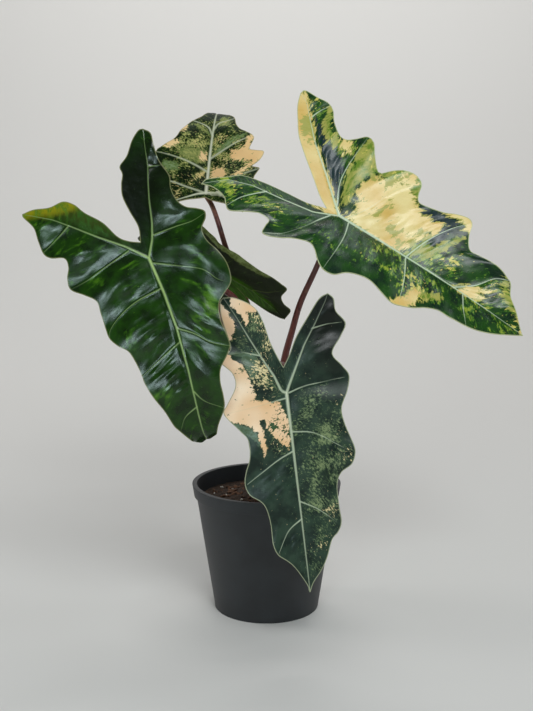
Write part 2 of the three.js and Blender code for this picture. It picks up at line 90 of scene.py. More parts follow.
def add_camera(eye, tilt_down, lens):
    """A camera that looks along +Y, tilted down by some degrees."""
    bpy.ops.object.camera_add(location=eye, rotation=(math.radians(90 - tilt_down), 0, 0))
    camera = bpy.context.object
    camera.data.lens = lens
    camera.data.dof.use_dof = False
    bpy.context.scene.camera = camera
    return camera


camera = add_camera(EYE, TILT_DOWN, LENS)
print("camera at", tuple(round(v, 3) for v in camera.location))

# %% [markdown]
# Leaves are glossy, so what they mirror matters as much as what lights them. The main
# panel hangs high at the front right, where few leaves mirror it, and gives the light.
# A small one at the front left stands at the plant's own height: the leaf parts that
# face it shine, and the lobes that turn away stay dark. Weak panels at the left, at the
# right and behind give the stalks, the far leaf and the edges their form, and the last
# lights only the paper behind.

# %% Studio light
PLANT_MIDDLE = (0.0, -0.03, 0.28)
PAPER_MIDDLE = (0.0, 3.4, 0.9)
WHITE = (1.0, 1.0, 1.0)
# Where each lamp stands and looks, its width and height in metres, its watts and its tint.
LAMPS = {
    "main": ((0.45, -1.5, 1.45), PLANT_MIDDLE, 0.9, 0.7, 22, (0.94, 0.98, 1.0)),
    "low left": ((-0.5, -1.56, 0.4), PLANT_MIDDLE, 0.34, 0.26, 4.2, (0.72, 0.94, 0.96)),
    "far left": ((-1.5, 0.35, 0.7), PLANT_MIDDLE, 0.6, 0.8, 5, WHITE),
    "high right": ((0.7, 0.26, 1.58), PLANT_MIDDLE, 0.3, 0.3, 1.3, (0.88, 0.95, 1.0)),
    "behind": ((0.1, 0.9, 1.5), PLANT_MIDDLE, 1.0, 0.5, 3, WHITE),
    "on the paper": ((0, 1.3, 2.6), PAPER_MIDDLE, 2.4, 0.8, 42, WHITE),
}
ROOM_TINT, ROOM_LIGHT = (0.75, 0.78, 0.82, 1), 0.15


def add_panel(place, target, width, height, power, tint):
    """A soft rectangular lamp that faces a target."""
    bpy.ops.object.light_add(type="AREA", location=place)
    lamp = bpy.context.object
    lamp.rotation_euler = (Vector(target) - Vector(place)).to_track_quat("-Z", "Y").to_euler()
    lamp.data.shape = "RECTANGLE"
    lamp.data.size = width
    lamp.data.size_y = height
    lamp.data.energy = power
    lamp.data.color = tint


for lamp_settings in LAMPS.values():
    add_panel(*lamp_settings)
world = bpy.context.scene.world or bpy.data.worlds.new("studio")
bpy.context.scene.world = world
world.use_nodes = True
world.node_tree.nodes["Background"].inputs["Color"].default_value = ROOM_TINT
world.node_tree.nodes["Background"].inputs["Strength"].default_value = ROOM_LIGHT
bpy.context.scene.view_settings.view_transform = "Standard"
print("lamps:", ", ".join(LAMPS))

# %% [markdown]
# A photographer's paper hangs behind the subject and runs forward under it in one
# soft bend, so no line shows where floor and wall meet. The paper is a plane whose
# back edge is drawn upwards, and the crease between the two is bevelled round.

# %% Paper sweep
PAPER_SIZE, PAPER_RISE, NEAR_BACK = 6, 4, 2.9
PAPER_BEND, PAPER_BEND_STEPS = 2.2, 24


def pick_edges(sheet, wanted):
    """Select the edges of a mesh whose two ends are both wanted."""
    for edge in sheet.data.edges:
        edge.select = all(wanted(sheet.data.vertices[end].co) for end in edge.vertices)


bpy.ops.object.select_all(action="DESELECT")
bpy.ops.mesh.primitive_plane_add(size=PAPER_SIZE, location=(0, 0, 0))
floor = bpy.context.object
floor.name = "paper_sweep"
bpy.ops.object.mode_set(mode="EDIT")
bpy.ops.mesh.select_all(action="DESELECT")
bpy.ops.object.mode_set(mode="OBJECT")
pick_edges(floor, lambda place: place.y > NEAR_BACK)
bpy.ops.object.mode_set(mode="EDIT")
bpy.ops.mesh.select_mode(type="EDGE")
bpy.ops.mesh.extrude_region_move(TRANSFORM_OT_translate={"value": (0, 0, PAPER_RISE)})
bpy.ops.object.mode_set(mode="OBJECT")
pick_edges(floor, lambda place: place.y > NEAR_BACK and place.z < PAPER_RISE / 2)
bpy.ops.object.mode_set(mode="EDIT")
bpy.ops.mesh.bevel(offset=PAPER_BEND, segments=PAPER_BEND_STEPS, affect="EDGES")
bpy.ops.object.mode_set(mode="OBJECT")
bpy.ops.object.shade_smooth()
print("paper faces:", len(floor.data.polygons))

# %% [markdown]
# Every finish below is written as a hex colour, the way a colour picker shows it.
# Shaders count light, not screen values, so one function turns hex into linear
# light. A second one adds any node with its options and inputs, and the small ones
# after it name the few nodes that come back in every finish.

# %% Colour and node helpers
def linear(hex_colour):
    """A hex colour such as #1d3a12 as linear red, green, blue and alpha."""
    shades = [int(hex_colour[i:i + 2], 16) / 255 for i in (1, 3, 5)]
    return [s / 12.92 if s <= 0.04045 else ((s + 0.055) / 1.055) ** 2.4 for s in shades] + [1.0]


def new_material(name):
    """An empty node material and its node tree."""
    material = bpy.data.materials.new(name)
    material.use_nodes = True
    material.node_tree.nodes.clear()
    return material, material.node_tree


def add_node(tree, kind, inputs=None, **options):
    """Add a node and set its inputs: each from another node, a hex colour or a value."""
    node = tree.nodes.new("ShaderNode" + kind)
    for key, value in options.items():
        setattr(node, key, value)
    for key, value in (inputs or {}).items():
        if isinstance(value, bpy.types.NodeSocket):
            tree.links.new(value, node.inputs[key])
        else:
            node.inputs[key].default_value = linear(value) if isinstance(value, str) else value
    return node


def close_finish(tree, **inputs):
    """The shader and the output that end every finish."""
    shader = add_node(tree, "BsdfPrincipled", {key.replace("_", " "): value for key, value in inputs.items()})
    add_node(tree, "OutputMaterial", {"Surface": shader.outputs["BSDF"]})


floor_paint, tree = new_material("matt_studio_floor")
close_finish(tree, Base_Color="#dcdad6", Roughness=0.9)
floor.data.materials.append(floor_paint)
print("materials:", len(bpy.data.materials))

# %% Nodes for places and patterns
def measured(tree, name, output="Fac"):
    """A measurement that the mesh keeps for each of its points."""
    return add_node(tree, "Attribute", attribute_name=name).outputs[output]


def room_place(tree):
    """The place on the object, in metres."""
    return add_node(tree, "TexCoord").outputs["Object"]


def squeezed(tree, place, sizes, shift=0.0):
    """Places divided by a size along each axis, so that a pattern of size 1 takes those sizes."""
    scale = [1 / size for size in sizes]
    return add_node(tree, "Mapping", {"Vector": place, "Location": (shift, 0, 0), "Scale": scale}).outputs[0]


def clouds(tree, place, size, detail, roughness=0.5, swirl=0.0):
    """A noise whose clouds have some size."""
    settings = {"Scale": 1 / size, "Detail": detail, "Roughness": roughness, "Distortion": swirl}
    return add_node(tree, "TexNoise", {"Vector": place, **settings}).outputs["Fac"]


# %% Nodes for blends, tones and bumps
SMOOTH = "SMOOTHSTEP"


def spread(tree, value, start, end, low=0.0, high=1.0, way="LINEAR"):
    """A value stretched from one span to another, and held at the ends."""
    span = {"From Min": start, "From Max": end, "To Min": low, "To Max": high}
    return add_node(tree, "MapRange", {"Value": value, **span}, interpolation_type=way).outputs["Result"]


def reckon(tree, operation, *terms):
    """One step of arithmetic on numbers and other nodes' outputs."""
    return add_node(tree, "Math", dict(enumerate(terms)), operation=operation).outputs[0]


def laid_over(tree, below, above, mask):
    """One tone over another where the mask is 1."""
    return add_node(tree, "Mix", {0: mask, 6: below, 7: above}, data_type="RGBA").outputs[2]


def ramp(tree, value, stops):
    """Tones along a value, from pairs of a place and a hex colour, the outer two first."""
    node = add_node(tree, "ValToRGB", {"Fac": value})
    for index, (place, tone) in enumerate(stops):
        if index < 2:
            stop = node.color_ramp.elements[index]
            stop.position = place
        else:
            stop = node.color_ramp.elements.new(place)
        stop.color = linear(tone)
    return node.outputs["Color"]


def bumped(tree, height, strength, reach):
    """A surface that a pattern lifts by some metres."""
    return add_node(tree, "Bump", {"Height": height, "Strength": strength, "Distance": reach}).outputs[0]


print("node helpers ready")

# %% [markdown]
# ## The leaf shape
#
# A real blade is flat tissue that grew bent: it hangs from the stalk, folds along
# its midrib and swells between its veins. So each leaf is drawn flat, in its own
# millimetres, and then bent by one formula. In the flat drawing the stalk joins at
# (0, 0), the first number runs along the midrib towards the tip, and the second
# runs across. "right" is the half on your right when the tip hangs down. The CAD
# solids have nearly the same outlines; their left and rear leaves curl a little less.

# %% Front leaf, half cream
FRONT_LEAF = {
    "name": "front", "place": (16.4, -105, 223.4), "tip": (0.12, -0.12, -0.98), "face": (0.05, -1, 0.1),
    "length": 172, "rear": 85, "half": 55, "droop": 6, "droop_power": 1.5, "rear_droop": 0,
    "rear_power": 1, "fold": (4, 4), "curl": (-4, -4), "wave": 1.6, "tip_point": (168, 0),
    "sinus": (-21.5, 0), "midrib": [(0, 0), (60, 0), (120, 0)],
    "right": {
        "margin": [
            (-77, 43), (-72, 47.5), (-62, 48), (-51, 55), (-41, 50), (-28, 41), (-17, 48), (-8, 53),
            (4, 50), (17, 43.5), (30, 44.5), (49, 50), (57, 50), (65, 46), (71, 37), (81, 32.5), (98, 32),
            (112, 32.5), (120, 29), (126, 23), (140, 17), (151, 11), (160, 4)],
        "inner": [(-73, 35), (-58, 23), (-44.5, 13), (-31, 6)],
        "rib": [(-6.5, 3), (-18, 9), (-37.5, 19), (-54, 30), (-72, 41)],
        "veins": [
            [(-50, 27), (-52, 40), (-52, 52)], [(0, 2), (-4, 17), (-7, 49)],
            [(32, 0), (36, 20), (54, 46)], [(90, 0), (99, 15), (112, 29)]]},
    "left": {
        "margin": [
            (-83.5, -42), (-80, -45), (-69, -45.5), (-55, -43), (-42, -41), (-37, -46), (-31, -50),
            (-21, -42), (-10, -41), (3, -49), (11, -53), (26, -42), (35, -36), (49, -36.5), (61, -41),
            (71, -43), (80, -40), (86, -32), (93, -28), (107, -26), (123, -26), (132, -23), (138.5, -16),
            (146, -10), (161, -2)],
        "inner": [(-82, -32), (-73, -18), (-60, -12), (-44, -8.5), (-31, -4)],
        "rib": [(-2, -4), (-15, -8.5), (-31, -17), (-48, -25), (-68, -34)],
        "veins": [
            [(-33, -18), (-37, -32), (-37, -44)], [(4, 0), (8, -26), (11, -51)],
            [(48, 0), (55, -15), (71, -41)], [(105, 0), (114, -12), (131, -22)]]},
}

# %% Right leaf, the showiest
RIGHT_LEAF = {
    "name": "right", "place": (62.9, -20, 362.5), "tip": (0.84, -0.22, -0.5), "face": (0, -0.88, 0.47),
    "length": 190, "rear": 115, "half": 65, "droop": 10, "droop_power": 1.5, "rear_droop": 0,
    "rear_power": 1, "fold": (10, 34), "curl": (-6, -8), "wave": 1.8, "tip_point": (189, -1),
    "sinus": (-13, 0), "midrib": [(0, 0), (60, 0), (130, 0)],
    "right": {
        "margin": [
            (-91, 80), (-89, 85), (-76, 85), (-66, 87), (-58, 83), (-50, 72), (-40, 64), (-33, 64),
            (-26, 70.5), (-19, 77), (-11, 75), (-2, 63), (8, 53.5), (16, 60), (27, 67), (37.5, 69),
            (45, 65), (48, 54), (52, 48), (59, 48), (72, 52), (84, 58), (95, 60), (101, 56), (104, 46),
            (111, 37), (121, 37), (139, 37), (152, 34), (157, 31), (162.5, 21), (176, 10), (183, 4)],
        "inner": [(-86.5, 68), (-78, 55), (-69, 43), (-54, 30), (-38, 17.5), (-23.5, 6)],
        "rib": [(-30, 26), (-54, 46), (-72, 65), (-82, 76)],
        "veins": [
            [(-70, 63), (-68, 73), (-63, 85)], [(-6, 6), (-15, 25), (-18, 43), (-18, 76)],
            [(6, 0), (18, 20), (27, 44), (42, 66)], [(68, 0), (75, 21), (86, 41), (99, 57)],
            [(116, 0), (131, 12), (142, 27), (153, 33)]]},
    "left": {
        "margin": [
            (-109, -57), (-99, -54), (-87, -56), (-82, -61), (-76, -65), (-65, -59), (-53, -52),
            (-44, -52), (-43.5, -58), (-41.5, -67), (-34, -67), (-24.5, -62), (-15, -54), (-4.5, -49),
            (3, -54), (10, -62), (18.5, -67), (28, -65), (35, -57), (44, -53), (55.5, -51), (68, -54),
            (79.6, -58), (88.5, -56), (97, -51), (105.6, -42), (115, -36.6), (126, -37), (140.5, -35),
            (156, -28), (170, -19.5), (182, -8)],
        "inner": [(-108, -49), (-96, -33.6), (-87, -22), (-68, -15), (-47.5, -11), (-29, -8), (-17, -2)],
        "rib": [(-19, -15), (-47, -22), (-74, -27), (-94, -37)],
        "veins": [
            [(-62, -24), (-75, -45), (-80, -62)],
            [(-6, -6), (-12, -22), (-17, -37), (-27, -56), (-41, -67)],
            [(10, 0), (15, -20), (17, -40), (18, -67)], [(68, 0), (78, -28), (84, -51), (88, -57)],
            [(126, 0), (133, -18), (141, -34)]]},
}

# %% Left leaf, all green
LEFT_LEAF = {
    "name": "left", "place": (-93.2, -115, 334.8), "tip": (0.29, -0.2, -0.92), "face": (-0.15, -1, 0.25),
    "length": 185, "rear": 120, "half": 75, "droop": 122, "droop_power": 4, "rear_droop": 0,
    "rear_power": 1, "fold": (6, 6), "curl": (-4, -4), "wave": 1.2, "tip_point": (198, -9),
    "sinus": (-14, -3), "midrib": [(0, 0), (30, 3.5), (60, 5), (95, 3.5), (120, 0.5), (150, -4)],
    "right": {
        "margin": [
            (-99, 26), (-94, 31), (-85, 31), (-71, 31), (-57, 35.5), (-47, 34), (-36.5, 35.6),
            (-29.5, 40.6), (-25.6, 48.5), (-21.5, 54), (-16, 53.4), (-8.4, 48), (1, 49), (11.6, 55),
            (23, 59), (34, 59), (40, 56.4), (46, 48.7), (52, 43), (63.6, 41), (74.6, 42), (85, 42),
            (92, 37), (100.5, 29), (110, 25.5), (122.5, 23.6), (134, 20), (148, 10), (159, 5), (171, 1),
            (185, -5)],
        "inner": [
            (-99, 22), (-93, 14.6), (-83, 7), (-77, -1), (-70, -1), (-63, -4), (-53, -6), (-40, -4),
            (-26, -1)],
        "rib": [(-13, 7), (-26, 11), (-43, 14), (-57.6, 17.6), (-69, 21), (-88, 24)],
        "veins": [
            [(-69, 22), (-67, 32)], [(-16, 8), (-17, 27.6), (-17, 42), (-20, 54)],
            [(5, 2), (13.5, 21.7), (22, 39), (33, 48), (39, 57)],
            [(60, 5), (68, 17), (78.6, 28), (86, 42)], [(112, 2), (122, 7), (133, 20)]]},
    "left": {
        "margin": [
            (-65, -88), (-62, -88), (-51, -82), (-40, -82), (-29.5, -81), (-24, -76), (-20, -65),
            (-12.5, -64), (-4, -68), (5, -68), (13, -58), (20.6, -50), (31, -50), (43.6, -50), (52, -49),
            (60, -43.6), (66, -37.5), (75, -35), (87, -33.5), (94, -33), (106, -30), (119.5, -26),
            (135, -23.5), (143, -20), (153, -17), (166, -16), (182, -14)],
        "inner": [
            (-65.5, -78), (-63, -65), (-64, -53), (-59, -45), (-50, -38.6), (-38, -27), (-24, -19),
            (-18, -12)],
        "rib": [(-14, -15), (-28, -34), (-44, -54), (-52.5, -65), (-59, -77)],
        "veins": [
            [(-44, -54), (-37, -67), (-30, -81)], [(-10, -14), (-3.5, -36), (2, -52.7), (5, -68)],
            [(26, 3), (29.6, -18), (36, -34), (45, -46), (52, -49)], [(71, 4), (79, -14), (88, -33)],
            [(125, 0), (131, -12), (141, -20)]]},
}

# %% Top leaf, the young marbled one
TOP_LEAF = {
    "name": "top", "place": (-55.9, 50, 379.6), "tip": (0.09, 0.34, 0.93), "face": (0, -0.9, 0.3),
    "length": 128, "rear": 45, "half": 50, "droop": 105, "droop_power": 2.1, "rear_droop": -65,
    "rear_power": 0.5, "fold": (6, 6), "curl": (-14, -10), "wave": 1.2, "tip_point": (128, 0),
    "sinus": (-5, 0), "midrib": [(0, 0), (40, 0), (85, 0)],
    "right": {
        "margin": [
            (-28, 46), (-22, 54), (-10, 56), (2, 52), (12, 44), (20, 46), (30, 50), (38, 53), (44, 51.5),
            (46, 48.5), (49.5, 42.5), (52.5, 36.5), (57, 33), (63, 31), (67.5, 28.5), (73, 25.5),
            (78, 22.5), (82, 18.5), (87, 13), (97, 8.5), (110, 5), (120, 2)],
        "inner": [(-22, 38), (-15, 28), (-10, 17), (-7.5, 8)],
        "rib": [(-2, 8), (-6, 16), (-10.5, 25.5), (-18, 35)],
        "veins": [
            [(0, 2), (5, 20), (9, 33), (10, 45)], [(20, 0), (27, 14), (32, 26), (41, 52)],
            [(59, 0), (70, 5), (76, 14), (80, 21)]]},
    "left": {
        "margin": [
            (-19, -36), (-13, -43), (-3, -46), (6, -44), (14, -42), (21, -43), (26.5, -46), (30, -47),
            (30.5, -40), (36, -44.5), (42, -48), (48, -49.7), (50, -48.5), (48.5, -42), (48, -36),
            (54, -37.3), (60, -38.8), (64, -38.5), (67.5, -35), (70.5, -30), (73, -24.5), (77.5, -21),
            (80.5, -20), (88, -18), (97, -12), (110, -7), (120, -3)],
        "inner": [(-15, -29), (-11.5, -21), (-10, -14), (-8.5, -7)],
        "rib": [(0.5, -11), (-4, -18), (-11, -26)],
        "veins": [
            [(0, -2), (-3, -25), (-8, -44)], [(10, 0), (17, -20), (23, -34), (29, -46)],
            [(33, 0), (42, -10), (52, -21), (65, -37)], [(66, 0), (78, -5), (86, -18)]]},
}

# %% Rear leaf, seen from below
REAR_LEAF = {
    "name": "rear", "place": (-47.7, 20, 313.2), "tip": (-0.569, -0.0255, 0.822),
    "face": (0.55, 0.731, 0.404), "length": 95, "rear": 75, "half": 38, "droop": 110, "droop_power": 1.6,
    "rear_droop": 0, "rear_power": 1, "fold": (0, 4), "curl": (-3, -5), "wave": 0.8, "tip_point": (95, 0),
    "sinus": (-26, 11), "midrib": [(0, 0), (30, 0), (65, 0)],
    "right": {
        "margin": [
            (-71, 41), (-66, 55), (-58, 53), (-51, 57), (-47, 70), (-40, 66), (-31, 60), (-23, 54),
            (-14, 48), (-6, 42), (0, 38), (8, 32), (17, 28), (24, 29), (31, 28), (39, 28), (50, 27),
            (60, 20), (72, 18), (84, 9)],
        "inner": [(-67, 35), (-57, 26), (-46, 19), (-37, 14)], "rib": [(-16, 13), (-34, 27), (-58, 38)],
        "veins": [
            [(-34, 27), (-42, 45), (-47, 68)], [(0, 0), (-2, 20), (-2, 39)],
            [(25, 0), (36, 12), (48, 27)], [(55, 0), (64, 8), (72, 17)]]},
    "left": {
        "margin": [
            (-76, -18), (-68, -30), (-56, -36), (-44, -34), (-36, -31), (-24, -40), (-8, -43), (8, -38),
            (20, -37), (32, -40), (46, -36), (58, -26), (70, -23), (84, -12)],
        "inner": [(-70, -3), (-60, 5), (-47, 11), (-36, 13)], "rib": [(-14, -3), (-34, -8), (-58, -15)],
        "veins": [
            [(-34, -8), (-45, -22), (-52, -36)], [(0, 0), (-3, -22), (-8, -43)],
            [(20, 0), (26, -18), (34, -39)], [(52, 0), (60, -10), (68, -22)]]},
}
LEAVES = [FRONT_LEAF, RIGHT_LEAF, LEFT_LEAF, TOP_LEAF, REAR_LEAF]
print("leaves drawn:", ", ".join(leaf["name"] for leaf in LEAVES))

# %% [markdown]
# The bending formula works on whole arrays of points at once, which is how numpy
# keeps a fine mesh quick. The midrib turns by a growing angle towards the tip, each
# half tilts up from the midrib, and a lift moves points out of the upper face.

# %% From the flat drawing to the hanging leaf
SPINE_STEP = 0.5
PAST_LOBES, PAST_TIP = 1.6, 1.3


def unit(vector):
    """The same direction with a length of 1."""
    vector = np.array(vector, float)
    return vector / np.linalg.norm(vector)


def leaf_axes(leaf):
    """Along to the tip, across to the right, and out of the upper face."""
    along = unit(leaf["tip"])
    out = np.array(leaf["face"], float)
    out = unit(out - (out @ along) * along)
    return along, np.cross(out, along), out


def bend_angle(leaf, a):
    """How far the midrib has turned at some places along it."""
    front = np.radians(leaf["droop"]) * np.clip(a / leaf["length"], 0, 2) ** leaf["droop_power"]
    back = np.radians(leaf["rear_droop"]) * np.clip(-a / leaf["rear"], 0, 2) ** leaf["rear_power"]
    return front - back


def spine(leaf, a):
    """Where a point of the midrib ends up, by adding up short steps along it."""
    reach = np.arange(-PAST_LOBES * leaf["rear"], PAST_TIP * leaf["length"], SPINE_STEP)
    angle = bend_angle(leaf, reach + SPINE_STEP / 2)
    x = np.concatenate([[0], np.cumsum(np.cos(angle) * SPINE_STEP)])
    z = np.concatenate([[0], np.cumsum(-np.sin(angle) * SPINE_STEP)])
    reach = np.append(reach, reach[-1] + SPINE_STEP)
    return [np.interp(a, reach, way) - np.interp(0, reach, way) for way in (x, z)]


def bend_leaf(leaf, a, b, lift):
    """Flat millimetres to metres in the room, for arrays of points."""
    side = np.where(b > 0, 0, 1)
    curl = np.take(leaf["curl"], side) * np.abs(b) / leaf["half"]
    fold = np.radians(np.take(leaf["fold"], side) + curl)
    angle = bend_angle(leaf, a)
    x, z = spine(leaf, a)
    rise = np.abs(b) * np.sin(fold) + lift
    parts = [x + rise * np.sin(angle), b * np.cos(fold), z + rise * np.cos(angle)]
    points = np.array(leaf["place"], float)
    return (points + sum(part[:, None] * axis for part, axis in zip(parts, leaf_axes(leaf)))) * MM


for leaf in LEAVES:
    tip = bend_leaf(leaf, np.array([leaf["length"]]), np.zeros(1), np.zeros(1))[0]
    print(leaf["name"], "leaf's tip hangs at, m:", tip.round(3))

# %% [markdown]
# A blade is then four patches: on each side one from the ribs out to the margin,
# and a narrow one from the lobe's rib in to the sinus, the notch between the lobes.
# Every patch starts as a plain grid. Its rows follow the side veins, because each
# vein ties a place on the ribs to one on the margin, so a raised vein runs cleanly
# along a row of faces instead of cutting across them.

# %% Paths and curves in the flat drawing
SEARCH_STEP = 0.5


def lengths(points):
    """Distance along a path, at each of its points."""
    steps = np.linalg.norm(np.diff(np.array(points, float), axis=0), axis=1)
    return np.concatenate([[0], np.cumsum(steps)])


def walk(points, distance):
    """Points of a straight-sided path at some distances along it."""
    total = lengths(points)
    points = np.array(points, float)
    return np.stack([np.interp(distance, total, points[:, k]) for k in (0, 1)], -1)


def with_ends(points):
    """A path with one more point before and after it, mirrored about its ends."""
    p = np.array(points, float)
    return np.vstack([2 * p[0] - p[1], p, 2 * p[-1] - p[-2]])


def walk_smooth(points, distance):
    """The same places on a smooth curve through the path's points."""
    total = lengths(points)
    p = with_ends(points)
    i = np.clip(np.searchsorted(total, distance, side="right") - 1, 0, len(total) - 2)
    t = ((distance - total[i]) / (total[i + 1] - total[i]))[:, None]
    before, start, end, after = p[i], p[i + 1], p[i + 2], p[i + 3]
    return 0.5 * (
        2 * start + (end - before) * t + (2 * before - 5 * start + 4 * end - after) * t ** 2
        + (3 * start - before - 3 * end + after) * t ** 3)


def nearest_on(points, target):
    """Distance along a path of its point nearest to a target."""
    distance = np.arange(0, lengths(points)[-1], SEARCH_STEP)
    return distance[np.argmin(np.linalg.norm(walk(points, distance) - np.array(target), axis=1))]


print("front leaf's right margin, mm:", round(lengths(FRONT_LEAF["right"]["margin"])[-1]))

# %% Rows that follow the veins
ROW_STEP = 0.85
CLEAR_OF_ENDS, CLEAR_OF_VEINS = 0.3, 0.4


def rib_path(leaf):
    """The midrib, from the stalk to the tip."""
    return [(0, 0), *leaf["midrib"][1:], leaf["tip_point"]]


def half_paths(leaf, side):
    """The ribs and margin of one half, and where each vein ties one to the other."""
    half = leaf[side]
    lobe = [half["margin"][0], *reversed(half["rib"])]
    ribs = lobe + rib_path(leaf)
    margin = half["margin"] + [leaf["tip_point"]]
    ties = [(nearest_on(ribs, vein[0]), nearest_on(margin, vein[-1])) for vein in half["veins"]]
    ties = np.array([(0, 0), *ties, (lengths(ribs)[-1], lengths(margin)[-1])])
    return ribs, margin, ties, lengths([*lobe, (0, 0)])[-1]


def notch_path(leaf, side):
    """The margin from a lobe's end in to the sinus."""
    return [leaf[side]["margin"][0], *leaf[side]["inner"], leaf["sinus"]]


def share_out(start, end, fixed):
    """Even places between two ends, with some fixed places kept exactly."""
    places = np.linspace(start, end, round((end - start) / ROW_STEP) + 1)
    fixed = np.array([f for f in fixed if start + CLEAR_OF_ENDS < f < end - CLEAR_OF_ENDS])
    if len(fixed):
        near = np.abs(places[:, None] - fixed).min(axis=1) < CLEAR_OF_VEINS * ROW_STEP
        near[[0, -1]] = False
        places = np.sort(np.concatenate([places[~near], fixed]))
    return places


def vein_bow(vein, part):
    """How far a curved vein lies from the straight line between its two ends."""
    curve = walk_smooth(vein, part * lengths(vein)[-1])
    start, end = np.array(vein[0], float), np.array(vein[-1], float)
    return curve - (start + part[:, None] * (end - start))


print("midribs, mm:", {leaf["name"]: round(lengths(rib_path(leaf))[-1]) for leaf in LEAVES})

# %% How far a blade swells and ripples
WAVE_LENGTH, WAVE_FADE = 46, 25
VEIN_SINK = 0.4
DENT_LONG, DENT_WIDE = 7.5, 12.0
OTHER_HALF = 300
SWAY, SWAY_TURNS, SWAY_LENGTH = 1.1, 4, 9
RIPPLE_TOP, RIPPLE_EVEN, RIPPLE_DENTED = 3.2, 0.8, 1.4
RIPPLE_START, RIPPLE_END = 0.6, 1.6


def soft_spots(spots, flat):
    """The sum of some soft round spots: place, reach and amount."""
    total = np.zeros(flat.shape[:-1])
    for a, b, reach, amount in spots:
        total += amount * np.exp(-((flat[..., 0] - a) ** 2 + (flat[..., 1] - b) ** 2) / reach ** 2)
    return total


def puckers(stations, run, is_right):
    """Shallow dents and swellings about a centimetre across, from -1 to 1."""
    half = 0.0 if is_right else OTHER_HALF
    rows = [[noise.noise(Vector((s / DENT_LONG, r / DENT_WIDE, half))) for r in line]
            for s, line in zip(stations, run)]
    return np.array(rows)


def swelling(leaf, flat, stations, on_margin, part, run, ties, before, phase, is_right):
    """The lift of a patch out of its plane, in millimetres."""
    ends = np.minimum(1, np.minimum(on_margin, ties[-1, 1] - on_margin) / WAVE_FADE)
    wave = leaf["wave"] * ends * np.sin(2 * np.pi * on_margin / WAVE_LENGTH)
    quilt = leaf["quilt"] * ends * (np.sin(np.pi * phase) ** 2 - VEIN_SINK)
    hump = 4 * part * (1 - part)
    lift = wave[:, None] * part ** 2 + quilt[:, None] * hump
    gaps = np.diff(ties[:, 0] + ties[:, 1]) / 2
    folds = np.maximum(1, np.round(gaps / leaf["ripple"]))[before]
    fading = RIPPLE_TOP * part ** RIPPLE_START * (1 - part) ** RIPPLE_END
    sway = SWAY * np.sin(SWAY_TURNS * part[None] + stations[:, None] / SWAY_LENGTH)
    ripple = np.sin(2 * np.pi * (folds * phase)[:, None] + sway) * fading * soft_spots(leaf["ripples"], flat)
    dents = puckers(stations, run, is_right)
    ripple *= RIPPLE_EVEN + RIPPLE_DENTED * dents
    return lift + ripple + leaf["pucker"] * hump * ends[:, None] * dents


# %% The four patches of a blade, still flat
OUTER_COLUMNS, INNER_COLUMNS = 56, 12


def between(rib, edge, columns):
    """Rows of points from the rib to the edge, and how far out each one lies."""
    part = np.linspace(0, 1, columns + 1)
    flat = rib[:, None] + part[None, :, None] * (edge - rib)[:, None]
    return part, flat, np.linalg.norm(edge - rib, axis=1)[:, None] * part


def outer_patch(leaf, side, past_joint):
    """Flat points, their lift and their way along the veins, from the ribs to the margin."""
    ribs, margin, ties, joint = half_paths(leaf, side)
    stations = np.concatenate([share_out(0, joint, ties[:, 0]), joint + past_joint[1:]])
    on_margin = np.interp(stations, ties[:, 0], ties[:, 1])
    part, flat, run = between(walk(ribs, stations), walk_smooth(margin, on_margin), OUTER_COLUMNS)
    none = np.zeros((len(part), 2))
    bows = np.array([none, *(vein_bow(vein, part) for vein in leaf[side]["veins"]), none])
    before = np.clip(np.searchsorted(ties[:, 0], stations, side="right") - 1, 0, len(ties) - 2)
    phase = (stations - ties[before, 0]) / (ties[before + 1, 0] - ties[before, 0])
    flat += (1 - phase)[:, None, None] * bows[before] + phase[:, None, None] * bows[before + 1]
    lift = swelling(leaf, flat, stations, on_margin, part, run, ties, before, phase, side == "right")
    way = np.stack([np.repeat((stations + on_margin)[:, None] / 2, len(part), 1), run], -1)
    return flat, lift, way


def inner_patch(leaf, side):
    """The same for the narrow patch from the lobe's rib in to the sinus."""
    ribs, _, ties, joint = half_paths(leaf, side)
    stations = share_out(0, joint, ties[:, 0])
    notch = notch_path(leaf, side)
    edge = walk_smooth(notch, stations / joint * lengths(notch)[-1])
    part, flat, run = between(walk(ribs, stations), edge, INNER_COLUMNS)
    way = np.stack([np.repeat(stations[:, None], len(part), 1), -run], -1)
    return flat, np.zeros(run.shape), way
